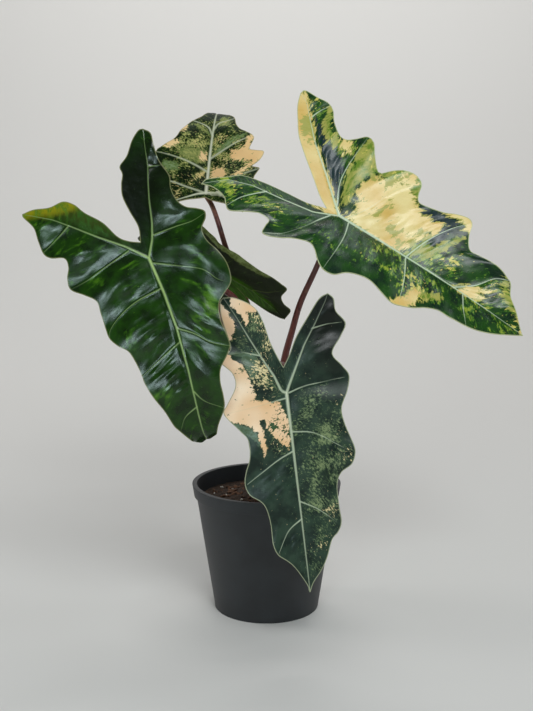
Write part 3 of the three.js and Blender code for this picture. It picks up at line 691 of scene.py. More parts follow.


# %% [markdown]
# Variegation is tissue that lost its green in patches while the leaf grew. The
# patches run between the veins from the rib to the margin, with ragged edges, and
# each one was read from the plant as a rough outline in the leaf's own
# millimetres. "cream" has no green left, "lime" has little, "grey" has a thin layer
# over pale cells, and "deep" is the darkest green. The rest are soft spots, each
# a place, a reach and an amount: of pale freckles, of marbling, of green islands left
# in the cream, and of shade. On the front and left leaves the shade spots are painted
# shade, which darkens the parts that turn away from the light, the lobes most of all;
# on the top leaf they are small dark blotches of its own.

# %% Where the front leaf is pale
FRONT_LEAF |= {
    "ripple": 6, "ridge": 0.35, "ripples": [(86, -18, 14, 0.3), (66, -22, 12, 0.2), (120, -12, 12, 0.15)],
    "pucker": 0.6, "quilt": 2.2, "rib_root": 1.5,
    "patches": {
        "cream": [
            [(-42, -48), (-40, -58), (-30, -62), (-20, -54), (-8, -54), (2, -60), (6, -42), (4, -34),
             (2, -26), (-8, -27), (-17, -29), (-26, -32), (-32, -38), (-38, -44)],
            [(2, -58), (10, -64), (17, -56), (20, -41), (25, -31), (31, -27), (38, -26), (50, -24),
             (45, -21), (36, -22), (28, -23), (20, -25), (20, -21), (27, -19), (33, -15), (37, -12),
             (42, -8), (46, -4), (40, -1.5), (20, -1.5), (8, -6), (4, -18), (2, -32)],
            [(-88, -37), (-84, -28), (-76, -17), (-71, -12), (-69, -17), (-69, -24), (-60, -24),
             (-59, -27), (-67, -29), (-71, -33), (-77, -36)],
            [(-80, -48), (-76, -42), (-68, -38.5), (-63, -36.5), (-57, -35.5), (-49, -39), (-46, -46),
             (-60, -50)]],
        "grey": [
            [(16, -51), (24, -45), (30, -38), (36, -30), (44, -24), (40, -22), (30, -27), (24, -33),
             (20, -42)],
            [(-39, -46), (-36, -40), (-33, -33), (-22, -31), (-14, -27), (-16, -22), (-28, -20),
             (-36, -22), (-38, -32)]],
        "deep": [[(20, -19), (26, -17), (33, -12), (30, -16), (24, -20)]]},
    "spots": {
        "island": [
            (0, 0, 500, 0.03), (-24, -33, 7, 0.6), (-9, -30, 6, 0.5), (14, -8, 8, 0.5), (34, -6, 9, 0.9),
            (25, -15, 6, 0.9), (8, -4, 6, 0.7)],
        "fleck": [
            (-14, -22, 10, 0.95), (-27, -20, 9, 0.8), (-6, -14, 8, 0.6), (0, -34, 10, 0.8),
            (-66, -16, 8, 0.95), (-53, -11, 8, 1.0), (-40, -10, 7, 0.9), (-54, -32, 8, 0.7),
            (-22, -15, 7, 1.0), (38, -12, 8, 0.8), (56, 44, 8, 0.85), (101, 25, 7, 1.0),
            (128, 17, 9, 0.7), (12, 46, 8, 0.75), (36, 42, 8, 0.6)],
        "marble": [
            (18, 12, 26, 0.85), (64, 14, 28, 0.9), (38, 38, 22, 0.8), (104, 20, 26, 1.0),
            (142, 8, 22, 0.9), (8, 28, 20, 0.6), (60, 34, 16, 0.5), (84, 18, 14, 0.4),
            (-40, -24, 28, 0.9), (-14, -14, 16, 0.9), (-62, -18, 18, 0.8), (-34, 24, 20, 0.5),
            (36, -12, 14, 0.9)],
        # The shade spots are painted shade, darkest on the right lobe, which turns away from the light.
        "shade": [(-66, 44, 22, 0.9), (-38, 38, 18, 0.6), (-16, 44, 14, 0.5), (72, 30, 12, 0.4)]},
}

# %% Where the right leaf is pale
RIGHT_LEAF |= {
    "ripple": 7, "ridge": 0.35, "ripples": [(80, 26, 16, 0.25), (100, -24, 16, 0.15), (30, 30, 18, 0.12)],
    "pucker": 0.7, "quilt": 2.2, "rib_root": 1.5,
    "patches": {
        "cream": [
            [(-102, 84), (-97, 64), (-88, 48), (-78, 36), (-62, 22), (-44, 8), (-28, -6), (-12, -6),
             (0, 0), (-19, 17), (-29, 26), (-53, 46), (-65, 60), (-76, 70), (-84, 82)],
            [(6, 2), (9, 14), (4, 24), (1, 34), (5, 46), (16, 50), (27, 54), (37, 56), (44, 52), (50, 44),
             (59, 40), (69, 41), (81, 43), (78, 34), (72, 29), (69, 20), (68, 13), (64, 7), (61, 1),
             (30, 1)],
            [(25, 55), (31, 54), (38, 57), (42, 63), (37, 68), (30, 66), (25, 62)],
            [(-34, 56), (-28, 52), (-24, 57), (-27, 63), (-32, 62)],
            [(70, 53), (80, 62), (94, 68), (106, 60), (104, 50), (98, 49), (95, 54), (88, 55), (80, 53)],
            [(117, 1), (124, 5), (131, 9), (140, 15), (148, 16), (141, 10), (135, 7), (143, 7), (137, 4),
             (133, 1), (126, 0)],
            [(77, -64), (90, -66), (94, -50), (96, -38), (93, -31), (88, -36), (85, -46), (80, -54)],
            [(178, 14), (194, 4), (188, -3), (184, 1), (180, 6)]],
        "lime": [
            [(6, 58), (16, 66), (27, 74), (42, 74), (52, 64), (52, 52), (46, 48), (38, 55), (26, 53),
             (12, 50)],
            [(-62, 84), (-55, 78), (-48, 66), (-38, 60), (-28, 62), (-22, 56), (-30, 50), (-42, 52),
             (-52, 58), (-58, 68), (-62, 76)],
            [(-14, 30), (-16, 45), (-18, 62), (-16, 78), (-8, 80), (2, 66), (12, 54), (6, 48), (3, 40),
             (-1, 30), (3, 16), (-4, 10)],
            [(91, -38), (93, -29), (100, -25), (108, -19), (115, -20), (110, -28), (100, -36), (96, -42)],
            [(64, 2), (69, 13), (73, 26), (77, 30), (77, 24), (83, 19), (88, 28), (93, 37), (98, 46),
             (102, 42), (95, 26), (88, 14), (78, 5)],
            [(148, 36), (160, 24), (170, 14), (176, 10), (168, 9), (158, 16), (150, 26)]],
        # The deep patches are dark slate bands of the leaf's own; their blue-grey tone is partly a painted
        # sheen.
        "deep": [
            [(-70, 68), (-50, 46), (-30, 28), (-12, 12), (-16, 24), (-19, 40), (-30, 46), (-44, 50),
             (-58, 62)],
            [(46, 40), (56, 44), (68, 50), (80, 53), (90, 53), (88, 44), (78, 43), (66, 40), (54, 37)],
            [(76, 21), (77, 33), (82, 44), (89, 46), (88, 33), (84, 19)]]},
    "spots": {
        "island": [
            (0, 0, 500, 0.12), (-73, 61, 6, 1.6), (-67, 54, 6, 1.6), (-60, 47, 6, 1.5), (26, 19, 6, 1.6),
            (31, 33, 6, 1.5), (46, 15, 7, 1.6), (56, 8, 6, 1.0), (11, 25, 4, 1.5), (18, 50, 7, 1.6),
            (3, 46, 7, 1.5), (42, 58, 7, 1.6), (30, 60, 8, 1.1), (6, 10, 6, 1.4), (12, 4, 4, 1.0),
            (66, 24, 7, 1.1), (70, 14, 8, 1.3)],
        "fleck": [
            (40, -8, 14, 0.6), (86, -30, 14, 0.85), (76, -16, 12, 0.6), (98, -38, 10, 1.0),
            (100, 12, 12, 0.85), (108, 24, 10, 0.85), (150, 20, 12, 0.8), (142, 2, 10, 0.75),
            (176, 4, 10, 1.0), (-76, 78, 10, 0.8), (-34, 60, 12, 1.0), (-50, 66, 10, 0.8),
            (-10, 56, 12, 0.85), (22, 60, 12, 0.9), (-80, -42, 12, 0.85), (-46, -38, 16, 0.55),
            (88, 48, 8, 0.65), (0, 18, 8, 0.85)],
        "marble": [
            (50, -16, 28, 0.8), (88, -28, 30, 0.95), (-60, -36, 30, 1.0), (-96, -44, 18, 1.2),
            (0, -34, 30, 0.8), (98, 18, 22, 0.95), (146, 12, 26, 0.85), (-26, 62, 26, 1.1),
            (20, 60, 20, 1.2), (134, -20, 22, 0.75), (-66, 74, 20, 0.95), (72, 12, 14, 1.0),
            (172, -4, 20, 0.8)]},
}

# %% Where the left leaf is pale
LEFT_LEAF |= {
    "ripple": 7.6, "ridge": 0.4, "quilt": 2.8, "rib_root": 1.4,
    "ripples": [
        (88, -14, 15, 0.55), (56, -15, 13, 0.45), (112, -10, 13, 0.5), (28, -12, 12, 0.3),
        (62, 33, 12, 0.35)],
    "pucker": 0.5,
    "patches": {
        "lime": [
            [(-74, -94), (-74, -62), (-70, -44), (-58, -36), (-54, -46), (-55, -56), (-56, -66),
             (-59, -78), (-60, -92)]],
        "grey": [
            [(-68, -80), (-66, -48), (-54, -34), (-38, -20), (-20, -8), (-17, -14), (-30, -30),
             (-44, -48), (-54, -62)]]},
    "spots": {
        # The shade spots are painted shade on the lobes, which turn away from the light.
        "shade": [(-62, 12, 34, 0.9), (-30, -6, 18, 0.6), (-56, -20, 20, 0.5)],
        # The marble spot at (-90, 26), the upper lobe's tip, is partly marbling and partly a painted
        # highlight where the tip catches the light.
        "marble": [
            (45, 34, 18, 1.3), (14, 38, 18, 1.0), (108, -22, 14, 1.5), (-52, -66, 24, 1.2),
            (-10, -56, 22, 1.0), (-20, 40, 20, 1.0), (150, 0, 20, 1.1), (76, 28, 22, 1.1),
            (0, -20, 30, 0.8), (60, -38, 20, 1.0), (-90, 26, 10, 1.0)]},
}

# %% Where the top and rear leaves are pale
TOP_LEAF |= {
    "ripple": 6, "ridge": 0.3, "ripples": [], "pucker": 0.6, "quilt": 1.6, "rib_root": 1.9,
    "patches": {
        "cream": [
            [(44, -19), (46.5, -26), (49.5, -30.5), (55, -31), (63, -33), (67, -38), (62, -40),
             (55, -36.5), (49.5, -36), (50, -41), (53, -50), (46, -56), (37, -45), (35.5, -36), (36, -31),
             (34, -26), (36, -19.5)],
            [(12, -2), (21, -3), (25, -8), (24, -14), (21, -18), (16, -14)],
            [(20, -23), (25, -28.5), (30, -34), (37, -39.5), (40, -44), (36, -45), (28, -37), (22, -30.5),
             (18, -26)],
            [(49, 46), (53, 38), (50, 30), (46, 33), (45, 42)],
            [(62, 32), (68, 30), (73, 26), (69, 24), (62, 28)],
            [(31, 3), (38, 3), (39, 8), (35, 10), (31, 8)]],
        "grey": [
            [(30, 43), (29, 34), (26, 28), (20, 28), (19, 38), (25, 44)],
            [(41, -4), (48, -8), (55, -14), (62, -21), (67, -30), (62, -30), (56, -23), (49, -17),
             (41, -10)]],
        "lime": [
            [(40, 30), (44, 24), (43, 13), (41, 3), (29, 3), (28, 11), (32, 19), (36, 28)],
            [(72, -4), (84, -4), (90, -8), (84, -15), (74, -13)],
            [(60, 3), (66, 6), (76, 16), (73, 19), (64, 10)]]},
    "spots": {
        "fleck": [
            (16, 26, 12, 0.5), (54, -8, 8, 1.0), (66, 16, 12, 0.4), (4, 36, 9, 0.9), (28, -22, 10, 0.5),
            (-8, 28, 8, 1.1), (2, -30, 12, 0.7), (8, 12, 12, 0.6), (17, 6, 5, 1.2), (26, -8, 7, 0.8),
            (58, -24, 8, 0.7), (78, -8, 12, 0.5), (44, 34, 10, 0.7), (50, 14, 8, 0.7), (36, -12, 8, 0.6)],
        "marble": [(40, 0, 80, 1.1), (48, 28, 12, 0.4), (50, 12, 8, 0.3), (24, 34, 8, 0.3)],
        "shade": [
            (56, 24, 9, 0.6), (18, 20, 7, 0.6), (30, -24, 7, 0.5), (50, -22, 5, 0.7), (74, 8, 8, 0.6)]},
}
REAR_LEAF |= {
    "ripple": 6, "ridge": 0.3, "ripples": [], "pucker": 0.5, "quilt": 1.4, "rib_root": 1.3,
    "patches": {
        "lime": [
            [(39, 34), (17, 34), (-6, 48), (-23, 60), (-33, 66), (-30, 55), (-22, 46), (-6, 33), (16, 21),
             (38, 23)]],
        "grey": [
            [(-62, 38), (-50, 20), (-37, 10), (-24, 8), (-12, 4), (-13, 13), (-24, 22), (-36, 30),
             (-52, 38)],
            [(-18, 2), (-32, -4), (-46, -6), (-58, -6), (-58, 6), (-46, 12), (-34, 14), (-26, 10)]]},
    "spots": {"marble": [(-30, 30, 30, 0.8), (20, 10, 20, 0.6)]},
}
print("pale outlines:", sum(len(p) for leaf in LEAVES for p in leaf["patches"].values()))

# %% [markdown]
# Veins are what make this plant. The midrib, the rib of each lobe and the side veins
# stand up from the face as pale ridges, and the first two also thicken the
# underside. Every point of the mesh therefore learns how far it is from the nearest
# vein, and that one number later raises the ridge, thickens the back and lets the
# material colour the vein.

# %% Distance to a line and to a colour patch
def to_path(points, path):
    """Distance to a path, and how far along it the nearest place is, from 0 to 1."""
    path = np.array(path, float)
    start, step = path[:-1], np.diff(path, axis=0)
    gap = points[:, None] - start[None]
    part = np.clip((gap * step).sum(-1) / (step ** 2).sum(-1), 0, 1)
    away = np.linalg.norm(gap - part[..., None] * step, axis=-1)
    near = away.argmin(axis=1)
    each = np.arange(len(points))
    return away[each, near], (near + part[each, near]) / len(step)


def even_places(points, pieces):
    """Evenly spaced distances along a path."""
    return np.linspace(0, lengths(points)[-1], pieces + 1)


def inside_distance(points, outline):
    """Distance to a closed outline, positive inside it."""
    path = np.array([*outline, outline[0]], float)
    away, _ = to_path(points, path)
    inside = np.zeros(len(points), bool)
    for (a0, b0), (a1, b1) in zip(path[:-1], path[1:]):
        crosses = (b0 > points[:, 1]) != (b1 > points[:, 1])
        at = a0 + (points[:, 1] - b0) * (a1 - a0) / (b1 - b0 if b1 != b0 else 1)
        inside ^= crosses & (points[:, 0] < at)
    return np.where(inside, away, -away)


# %% Distance to a vein and to the margin
FAR_OUTSIDE = -20.0
RIB_TIP, LOBE_SHARE, LOBE_TIP = 0.3, 0.8, 0.1
SIDE_ROOT, SIDE_TIP, SIDE_DEPTH = 0.62, 0.1, 0.22
TAPER, SHOULDER = 0.8, 0.6
RIB_PIECES, LOBE_PIECES, VEIN_PIECES, EDGE_PIECES = 40, 30, 20, 4
FLANK_TOP, FLANK_WIDE, FLANK_LEAST, BACK_TAPER = 1.25, 1.5, 0.4, 0.75


def vein_lines(leaf):
    """The ribs and the side veins, each as a path, half widths at root and tip, and depth."""
    middle, root = rib_path(leaf), leaf["rib_root"]
    ribs = [(walk(middle, even_places(middle, RIB_PIECES)), root, RIB_TIP, 1.0)]
    side_veins = []
    for side in ("right", "left"):
        lobe = [(0, 0), *leaf[side]["rib"], leaf[side]["margin"][0]]
        ribs.append((walk(lobe, even_places(lobe, LOBE_PIECES)), LOBE_SHARE * root, LOBE_TIP, LOBE_SHARE))
        for vein in leaf[side]["veins"]:
            curve = walk_smooth(vein, even_places(vein, VEIN_PIECES))
            side_veins.append((curve, SIDE_ROOT, SIDE_TIP, SIDE_DEPTH))
    return ribs, side_veins


def vein_fields(leaf, points):
    """How far inside a rib and a side vein each point is, and how thick the back is there."""
    fields = []
    thick = np.zeros(len(points))
    for family in vein_lines(leaf):
        inside = np.full(len(points), FAR_OUTSIDE)
        for path, root, tip, depth in family:
            away, along = to_path(points, path)
            half_width = root + (tip - root) * along ** TAPER
            inside = np.maximum(inside, half_width - away)
            flank = np.clip(FLANK_TOP - away / (FLANK_WIDE * half_width + FLANK_LEAST), 0, 1) ** SHOULDER
            thick = np.maximum(thick, depth * (1 - BACK_TAPER * along) * flank)
        fields.append(inside)
    return (*fields, thick)


def edge_distance(leaf, points):
    """Distance to the outline of the whole leaf."""
    nearest = np.full(len(points), np.inf)
    for side in ("right", "left"):
        for outline in ([*leaf[side]["margin"], leaf["tip_point"]], notch_path(leaf, side)):
            fine = walk_smooth(outline, even_places(outline, EDGE_PIECES * len(outline)))
            nearest = np.minimum(nearest, to_path(points, fine)[0])
    return nearest


ribs, side_veins = vein_lines(FRONT_LEAF)
print("front leaf:", len(ribs), "ribs and", len(side_veins), "side veins")

# %% A grid that keeps measurements
def store(mesh, name, values):
    """Keep one number, or one flat place, for every point of a mesh."""
    kind, key = ("FLOAT_VECTOR", "vector") if values.ndim == 2 else ("FLOAT", "value")
    attribute = mesh.attributes.new(name, kind, "POINT")
    attribute.data.foreach_set(key, values.ravel().astype(np.float32))


def grid_sheet(rows, columns):
    """A grid primitive, and the row and column of each of its points."""
    bpy.ops.object.select_all(action="DESELECT")
    bpy.ops.mesh.primitive_grid_add(x_subdivisions=columns - 1, y_subdivisions=rows - 1, size=2)
    sheet = bpy.context.object
    corner = np.empty(len(sheet.data.vertices) * 3)
    sheet.data.vertices.foreach_get("co", corner)
    corner = (corner.reshape(-1, 3) + 1) / 2
    column = np.rint(corner[:, 0] * (columns - 1)).astype(int)
    row = np.rint(corner[:, 1] * (rows - 1)).astype(int)
    return sheet, row, column


def move_points(mesh, points):
    """Put a mesh's points at some places in metres, inside the CAD model's box."""
    mesh.vertices.foreach_set("co", np.clip(points, cad_low, cad_high).ravel())


# %% One patch becomes a mesh with its measurements
PATCH_KINDS = ("cream", "lime", "grey", "deep")
# Spot kinds: pale freckles, marbling, green islands in the cream, and shade, which on the front and left
# leaves is painted shade.
SPOT_KINDS = ("fleck", "marble", "island", "shade")
RIDGE_FOOT, RIDGE_TOP, SIDE_RIDGE = 0.5, 1.2, 0.8


def deepest_inside(outlines, places):
    """How far inside the nearest of some outlines each place is, negative outside."""
    field = np.full(len(places), FAR_OUTSIDE)
    for outline in outlines:
        field = np.maximum(field, inside_distance(places, outline))
    return field


def patch_mesh(leaf, patch, is_right):
    """A grid whose points are put where the leaf's formulas say."""
    flat, lift, way = patch
    sheet, row, column = grid_sheet(*flat.shape[:2])
    places = flat[row, column]
    vein, side_vein, thick = vein_fields(leaf, places)
    side_ridge = SIDE_RIDGE * np.clip(side_vein + RIDGE_FOOT, 0, 1)
    ridge = leaf["ridge"] * (np.clip(vein + RIDGE_FOOT, 0, RIDGE_TOP) + side_ridge)
    move_points(sheet.data, bend_leaf(leaf, places[:, 0], places[:, 1], lift[row, column] + ridge))
    sideways = np.full(len(places), 0 if is_right else OTHER_HALF)
    fields = {
        "flat": np.column_stack([places, np.zeros(len(places))]),
        "way": np.column_stack([way[row, column], sideways]),
        "vein": vein, "side_vein": side_vein, "thick": thick, "edge": edge_distance(leaf, places)}
    fields |= {kind: deepest_inside(leaf["patches"].get(kind, []), places) for kind in PATCH_KINDS}
    fields |= {kind: soft_spots(leaf["spots"].get(kind, []), places) for kind in SPOT_KINDS}
    for name, values in fields.items():
        store(sheet.data, name, values)
    sheet.data.update()
    return sheet


# %% [markdown]
# The four patches are joined and the doubled points along the ribs are merged, so
# the blade is one sheet. Solidify then gives it a back: half a millimetre of leaf,
# and more where the "thick" weights say that a rib runs. The back takes a second
# material, because the underside of a leaf is paler and duller than its face.

# %% A clean sheet with a back
LEAF_TISSUE, DEEPEST_RIB = 0.55, 3.0
DOUBLED = 0.00002
BLADE_CREASE = math.radians(50)


def clean_up(piece, closer_than):
    """Merge the doubled points of a piece and turn its faces to one side."""
    select_only(piece)
    bpy.ops.object.mode_set(mode="EDIT")
    bpy.ops.mesh.select_all(action="SELECT")
    bpy.ops.mesh.remove_doubles(threshold=closer_than)
    bpy.ops.mesh.normals_make_consistent(inside=False)
    bpy.ops.object.mode_set(mode="OBJECT")


def face_up(blade, leaf):
    """Turn the sheet's faces towards the leaf's upper side."""
    up = Vector(leaf_axes(leaf)[2])
    joint = Vector(leaf["place"]) * MM
    middle = min(blade.data.polygons, key=lambda face: (face.center - joint).length)
    if middle.normal.dot(up) < 0:
        bpy.ops.object.mode_set(mode="EDIT")
        bpy.ops.mesh.select_all(action="SELECT")
        bpy.ops.mesh.flip_normals()
        bpy.ops.object.mode_set(mode="OBJECT")


def thicken(blade):
    """Solidify downwards, by the weights kept in the thick measurement."""
    weights = np.empty(len(blade.data.vertices), np.float32)
    blade.data.attributes["thick"].data.foreach_get("value", weights)
    group = blade.vertex_groups.new(name="depth")
    share = (LEAF_TISSUE + (DEEPEST_RIB - LEAF_TISSUE) * weights) / DEEPEST_RIB
    for index, amount in enumerate(np.clip(share, 0, 1)):
        group.add([index], float(amount), "REPLACE")
    solidify = blade.modifiers.new("back", "SOLIDIFY")
    solidify.thickness = DEEPEST_RIB * MM
    solidify.offset = -1
    solidify.vertex_group = "depth"
    solidify.material_offset = 1
    bpy.ops.object.modifier_apply(modifier="back")
    blade.vertex_groups.clear()


# %% From patches to a blade
def make_blade(leaf):
    """Join a leaf's patches and give the sheet its thickness."""
    veined = [tie - joint for _, _, ties, joint in (half_paths(leaf, "right"), half_paths(leaf, "left"))
              for tie in ties[:, 0]]
    past_joint = share_out(0, lengths(rib_path(leaf))[-1], veined)
    sheets = []
    for side in ("right", "left"):
        for patch in (outer_patch(leaf, side, past_joint), inner_patch(leaf, side)):
            sheets.append(patch_mesh(leaf, patch, side == "right"))
    select_only(*sheets)
    bpy.ops.object.join()
    blade = sheets[0]
    blade.name = "leaf_" + leaf["name"]
    clean_up(blade, DOUBLED)
    face_up(blade, leaf)
    thicken(blade)
    move_points(blade.data, np.array([vertex.co for vertex in blade.data.vertices]))
    bpy.ops.object.shade_smooth_by_angle(angle=BLADE_CREASE)
    stand_in(blade, "blade_" + leaf["name"])
    return blade


blades = {}
for leaf in LEAVES:
    blade = blades[leaf["name"]] = make_blade(leaf)
    blade.data.calc_loop_triangles()
    print(blade.name, "triangles:", len(blade.data.loop_triangles))

# %% [markdown]
# ## The leaf's finish
#
# Living leaf has a waxy, clear skin over coloured cells. The skin gives the gloss,
# and the cells give the colour, which changes with the patches, the freckles, the
# pale veins and the thin pale margin. The shader lays these over each other like
# coats, from the darkest green up. The distances in the mesh are smooth, so each is
# pushed back and forth by a noise a few millimetres wide, which tears the edge of a
# patch the way the real ones are torn. All sizes are millimetres of the flat leaf.

# %% Coats of a leaf
SPOT_START, SPOT_GAIN = 0.66, 0.16
STREAK_DETAIL, STREAK_SWIRL = 7, 0.4


def way_noise(tree, sizes, roughness, shift):
    """A noise in streaks that run with the side veins: its sizes across and along them, mm."""
    way = squeezed(tree, measured(tree, "way", "Vector"), (*sizes, 1), shift)
    return clouds(tree, way, 1, STREAK_DETAIL, roughness, STREAK_SWIRL)


def torn_mask(tree, name, noise_field, tear, beyond=0.0, soft=0.4):
    """1 inside the patches of one kind, with torn edges, that may reach some way beyond."""
    pushed = reckon(tree, "MULTIPLY_ADD", noise_field, tear, measured(tree, name))
    middle = tear / 2 - beyond
    return spread(tree, pushed, middle - soft, middle + soft, way=SMOOTH)


def spot_mask(tree, name, noise_field, clumps, soft, higher=0.0):
    """Streaks of a noise, let through in clumps where the spots of one kind are dense."""
    clumped = reckon(tree, "MULTIPLY", measured(tree, name), clumps)
    lifted = reckon(tree, "MULTIPLY_ADD", clumped, SPOT_GAIN, noise_field)
    start = SPOT_START + higher
    return spread(tree, lifted, start, start + soft, way=SMOOTH)


def line_mask(tree, name, start, end, strength):
    """A line along a vein or the margin, from its distance in millimetres."""
    return spread(tree, measured(tree, name), start, end, 0.0, strength, SMOOTH)


# %% The noises and blends of a leaf
CLOUD_SIZE, CLOUD_SPAN = 13.0, (0.38, 0.62)
DRIFT_SIZE, DRIFT_SPAN = 32.0, (0.36, 0.64)
CLUMP_LEAST, CLUMP_MOST = 0.55, 1.3
STREAK_SPAN = (0.42, 0.58)
TORN_ROUGH, FLECK_ROUGH = 0.68, 0.6
APART = 70
FLECK_SOFT, FLECK_RARER = 0.02, 0.03
CORE_GLOW, JOINT_GLOW = 0.5, 0.8
SIDE_VEIN_FULL, SIDE_VEIN_THIN = 0.25, -0.3
RIB_LINE, CORE_LINE, JOINT_LINE, RIM_LINE = (-0.45, 0.7), (0.5, 1.1), (0.75, 1.35), (0.95, 0.35)


def leaf_coats(tree, tones, make, flat, torn):
    """The coats of a leaf from the lowest up, each a tone and the mask that shows it."""
    cloudy = spread(tree, clouds(tree, flat, CLOUD_SIZE, 3), *CLOUD_SPAN)
    clumpy = spread(tree, clouds(tree, flat, make["clump"], 2), *CLOUD_SPAN, CLUMP_LEAST, CLUMP_MOST)
    drifting = spread(tree, clouds(tree, flat, DRIFT_SIZE, 1), *DRIFT_SPAN)
    streaky = spread(tree, torn, *STREAK_SPAN)
    marbling = way_noise(tree, make["marble_size"], make["ragged"], APART)
    speckles = way_noise(tree, make["fleck_size"], FLECK_ROUGH, 2 * APART)
    islands = way_noise(tree, make["island_size"], TORN_ROUGH, 3 * APART)
    shade = measured(tree, "shade")
    no_island = reckon(tree, "SUBTRACT", 1, spot_mask(tree, "island", islands, clumpy, make["island_soft"]))
    cream = reckon(tree, "MULTIPLY", torn_mask(tree, "cream", torn, make["tear"]), no_island)

    def patch(name, soft):
        return torn_mask(tree, name, torn, make["tear"], 0, soft)

    def marble(higher):
        return spot_mask(tree, "marble", marbling, clumpy, make["soft"], higher)

    def side_vein(start, strength):
        return line_mask(tree, "side_vein", start, SIDE_VEIN_FULL, strength)

    return [
        (tones["cloud"], cloudy),
        # Painted shade: the deepest green where the shade spots lie.
        (tones["deep"], shade),
        (tones["marble"], marble(0)),
        (tones["crest"], marble(make["crest"])),
        (tones["deep"], patch("deep", make["blend"])),
        (laid_over(tree, tones["grey"], tones["marble"], streaky), patch("grey", make["blend"])),
        (laid_over(tree, tones["lime"], tones["halo"], streaky), patch("lime", make["lime_soft"])),
        (tones["fleck"], spot_mask(tree, "fleck", speckles, clumpy, FLECK_SOFT, FLECK_RARER)),
        (tones["vein"], side_vein(-make["vein_blur"], make["side_veins"])),
        (tones["halo"], torn_mask(tree, "cream", torn, make["tear"], make["halo"])),
        (laid_over(tree, tones["cream"], tones["warm"], drifting), cream),
        (tones["vein"], side_vein(SIDE_VEIN_THIN, make["side_veins"] / 3)),
        (tones["vein"], line_mask(tree, "vein", *RIB_LINE, make["ribs"])),
        (tones["core"], line_mask(tree, "vein", *CORE_LINE, CORE_GLOW)),
        (tones["joint"], line_mask(tree, "vein", *JOINT_LINE, JOINT_GLOW)),
        # Painted shade again, laid over the pale veins in the same places.
        (tones["deep"], reckon(tree, "MULTIPLY", shade, make["veil"])),
        (tones["rim"], line_mask(tree, "edge", *RIM_LINE, make["rim"]))]


# %% The leaf skin
CELL_SIZE, CELL_RISE = 1.3, 0.0003
ROUGH_SPAN, SMOOTHER, ROUGHER = (0.35, 0.65), 0.05, 0.08
CELL_WALL_IOR = 1.45


def leaf_skin(name, tones, make):
    """A leaf finish from its tones and from how torn, glossy and veined it is."""
    material, tree = new_material(name)
    flat = measured(tree, "flat", "Vector")
    torn = way_noise(tree, make["torn_size"], TORN_ROUGH, 0)
    colour = tones["ground"]
    for tone, mask in leaf_coats(tree, tones, make, flat, torn):
        colour = laid_over(tree, colour, tone, mask)
    cells = add_node(tree, "TexVoronoi", {"Scale": 1 / CELL_SIZE, "Vector": flat}, feature="DISTANCE_TO_EDGE")
    rough = make["roughness"]
    close_finish(
        tree, Base_Color=colour, IOR=CELL_WALL_IOR, Specular_IOR_Level=make["gloss"],
        Roughness=spread(tree, torn, *ROUGH_SPAN, rough - SMOOTHER, rough + ROUGHER),
        Normal=bumped(tree, cells.outputs["Distance"], make["skin"], CELL_RISE))
    return material


# %% [markdown]
# Five leaves of one plant, and no two alike: the front one is half slate green and
# half salmon cream, the right one cream, lime and blue-green, the left one almost
# all dark glossy green, the young top one marbled, and the rear one shows its olive
# back, darkened by painted shade as the leaf that hangs in shadow behind the others.
# Each gets its tones for the face and paler, duller ones for the underside; the rear
# leaf's back, which is the side it shows, is only duller.

# %% Tones of the five leaves
# One row per tone, one column per leaf: front, right, left, top and rear.
# The rear column is darkened by painted shade.
TONES = {
    "ground": ("#14251d", "#102c18", "#0d2403", "#0f1e0a", "#131d03"),
    "cloud": ("#2b3f31", "#204a14", "#1a3c05", "#1a2e10", "#1b2905"),
    "marble": ("#485c40", "#457523", "#30580c", "#5c7236", "#2c480a"),
    "crest": ("#7d8c62", "#98aa3c", "#4e7818", "#b8b56e", "#3d6012"),
    # In the right column, the blue-grey of deep is partly a painted sheen.
    # deep is the darkest green, and in the front and left columns also the tone of the painted shade.
    "deep": ("#070d06", "#1d3234", "#0a1304", "#0a140c", "#101704"),
    "grey": ("#5f7560", "#4d7560", "#37460e", "#7f9468", "#3d6a12"),
    "fleck": ("#dccb98", "#d5ca66", "#4e7818", "#d6c382", "#8c9440"),
    "lime": ("#a9a878", "#6c8a2e", "#8f880c", "#a6a862", "#889a5a"),
    "halo": ("#34502c", "#aeab56", "#5a7410", "#66793f", "#5b6b30"),
    "cream": ("#fde1c0", "#f3df9c", "#d8cf70", "#f9d9a0", "#c8bf78"),
    "warm": ("#ecc191", "#e0bb68", "#c8bc55", "#e9bf85", "#b8ad60"),
    "vein": ("#b0bca0", "#cbdcbc", "#8fa96a", "#c4c9aa", "#5c6e2c"),
    "core": ("#93a781", "#a8c095", "#a5bd72", "#d2d4b8", "#66783a"),
    "joint": ("#e0ddc8", "#e4ebd2", "#b9cf80", "#e6e4d0", "#7d8f4a"),
    "rim": ("#a3a988", "#bcc292", "#86885c", "#b5ad84", "#6c7440"),
}

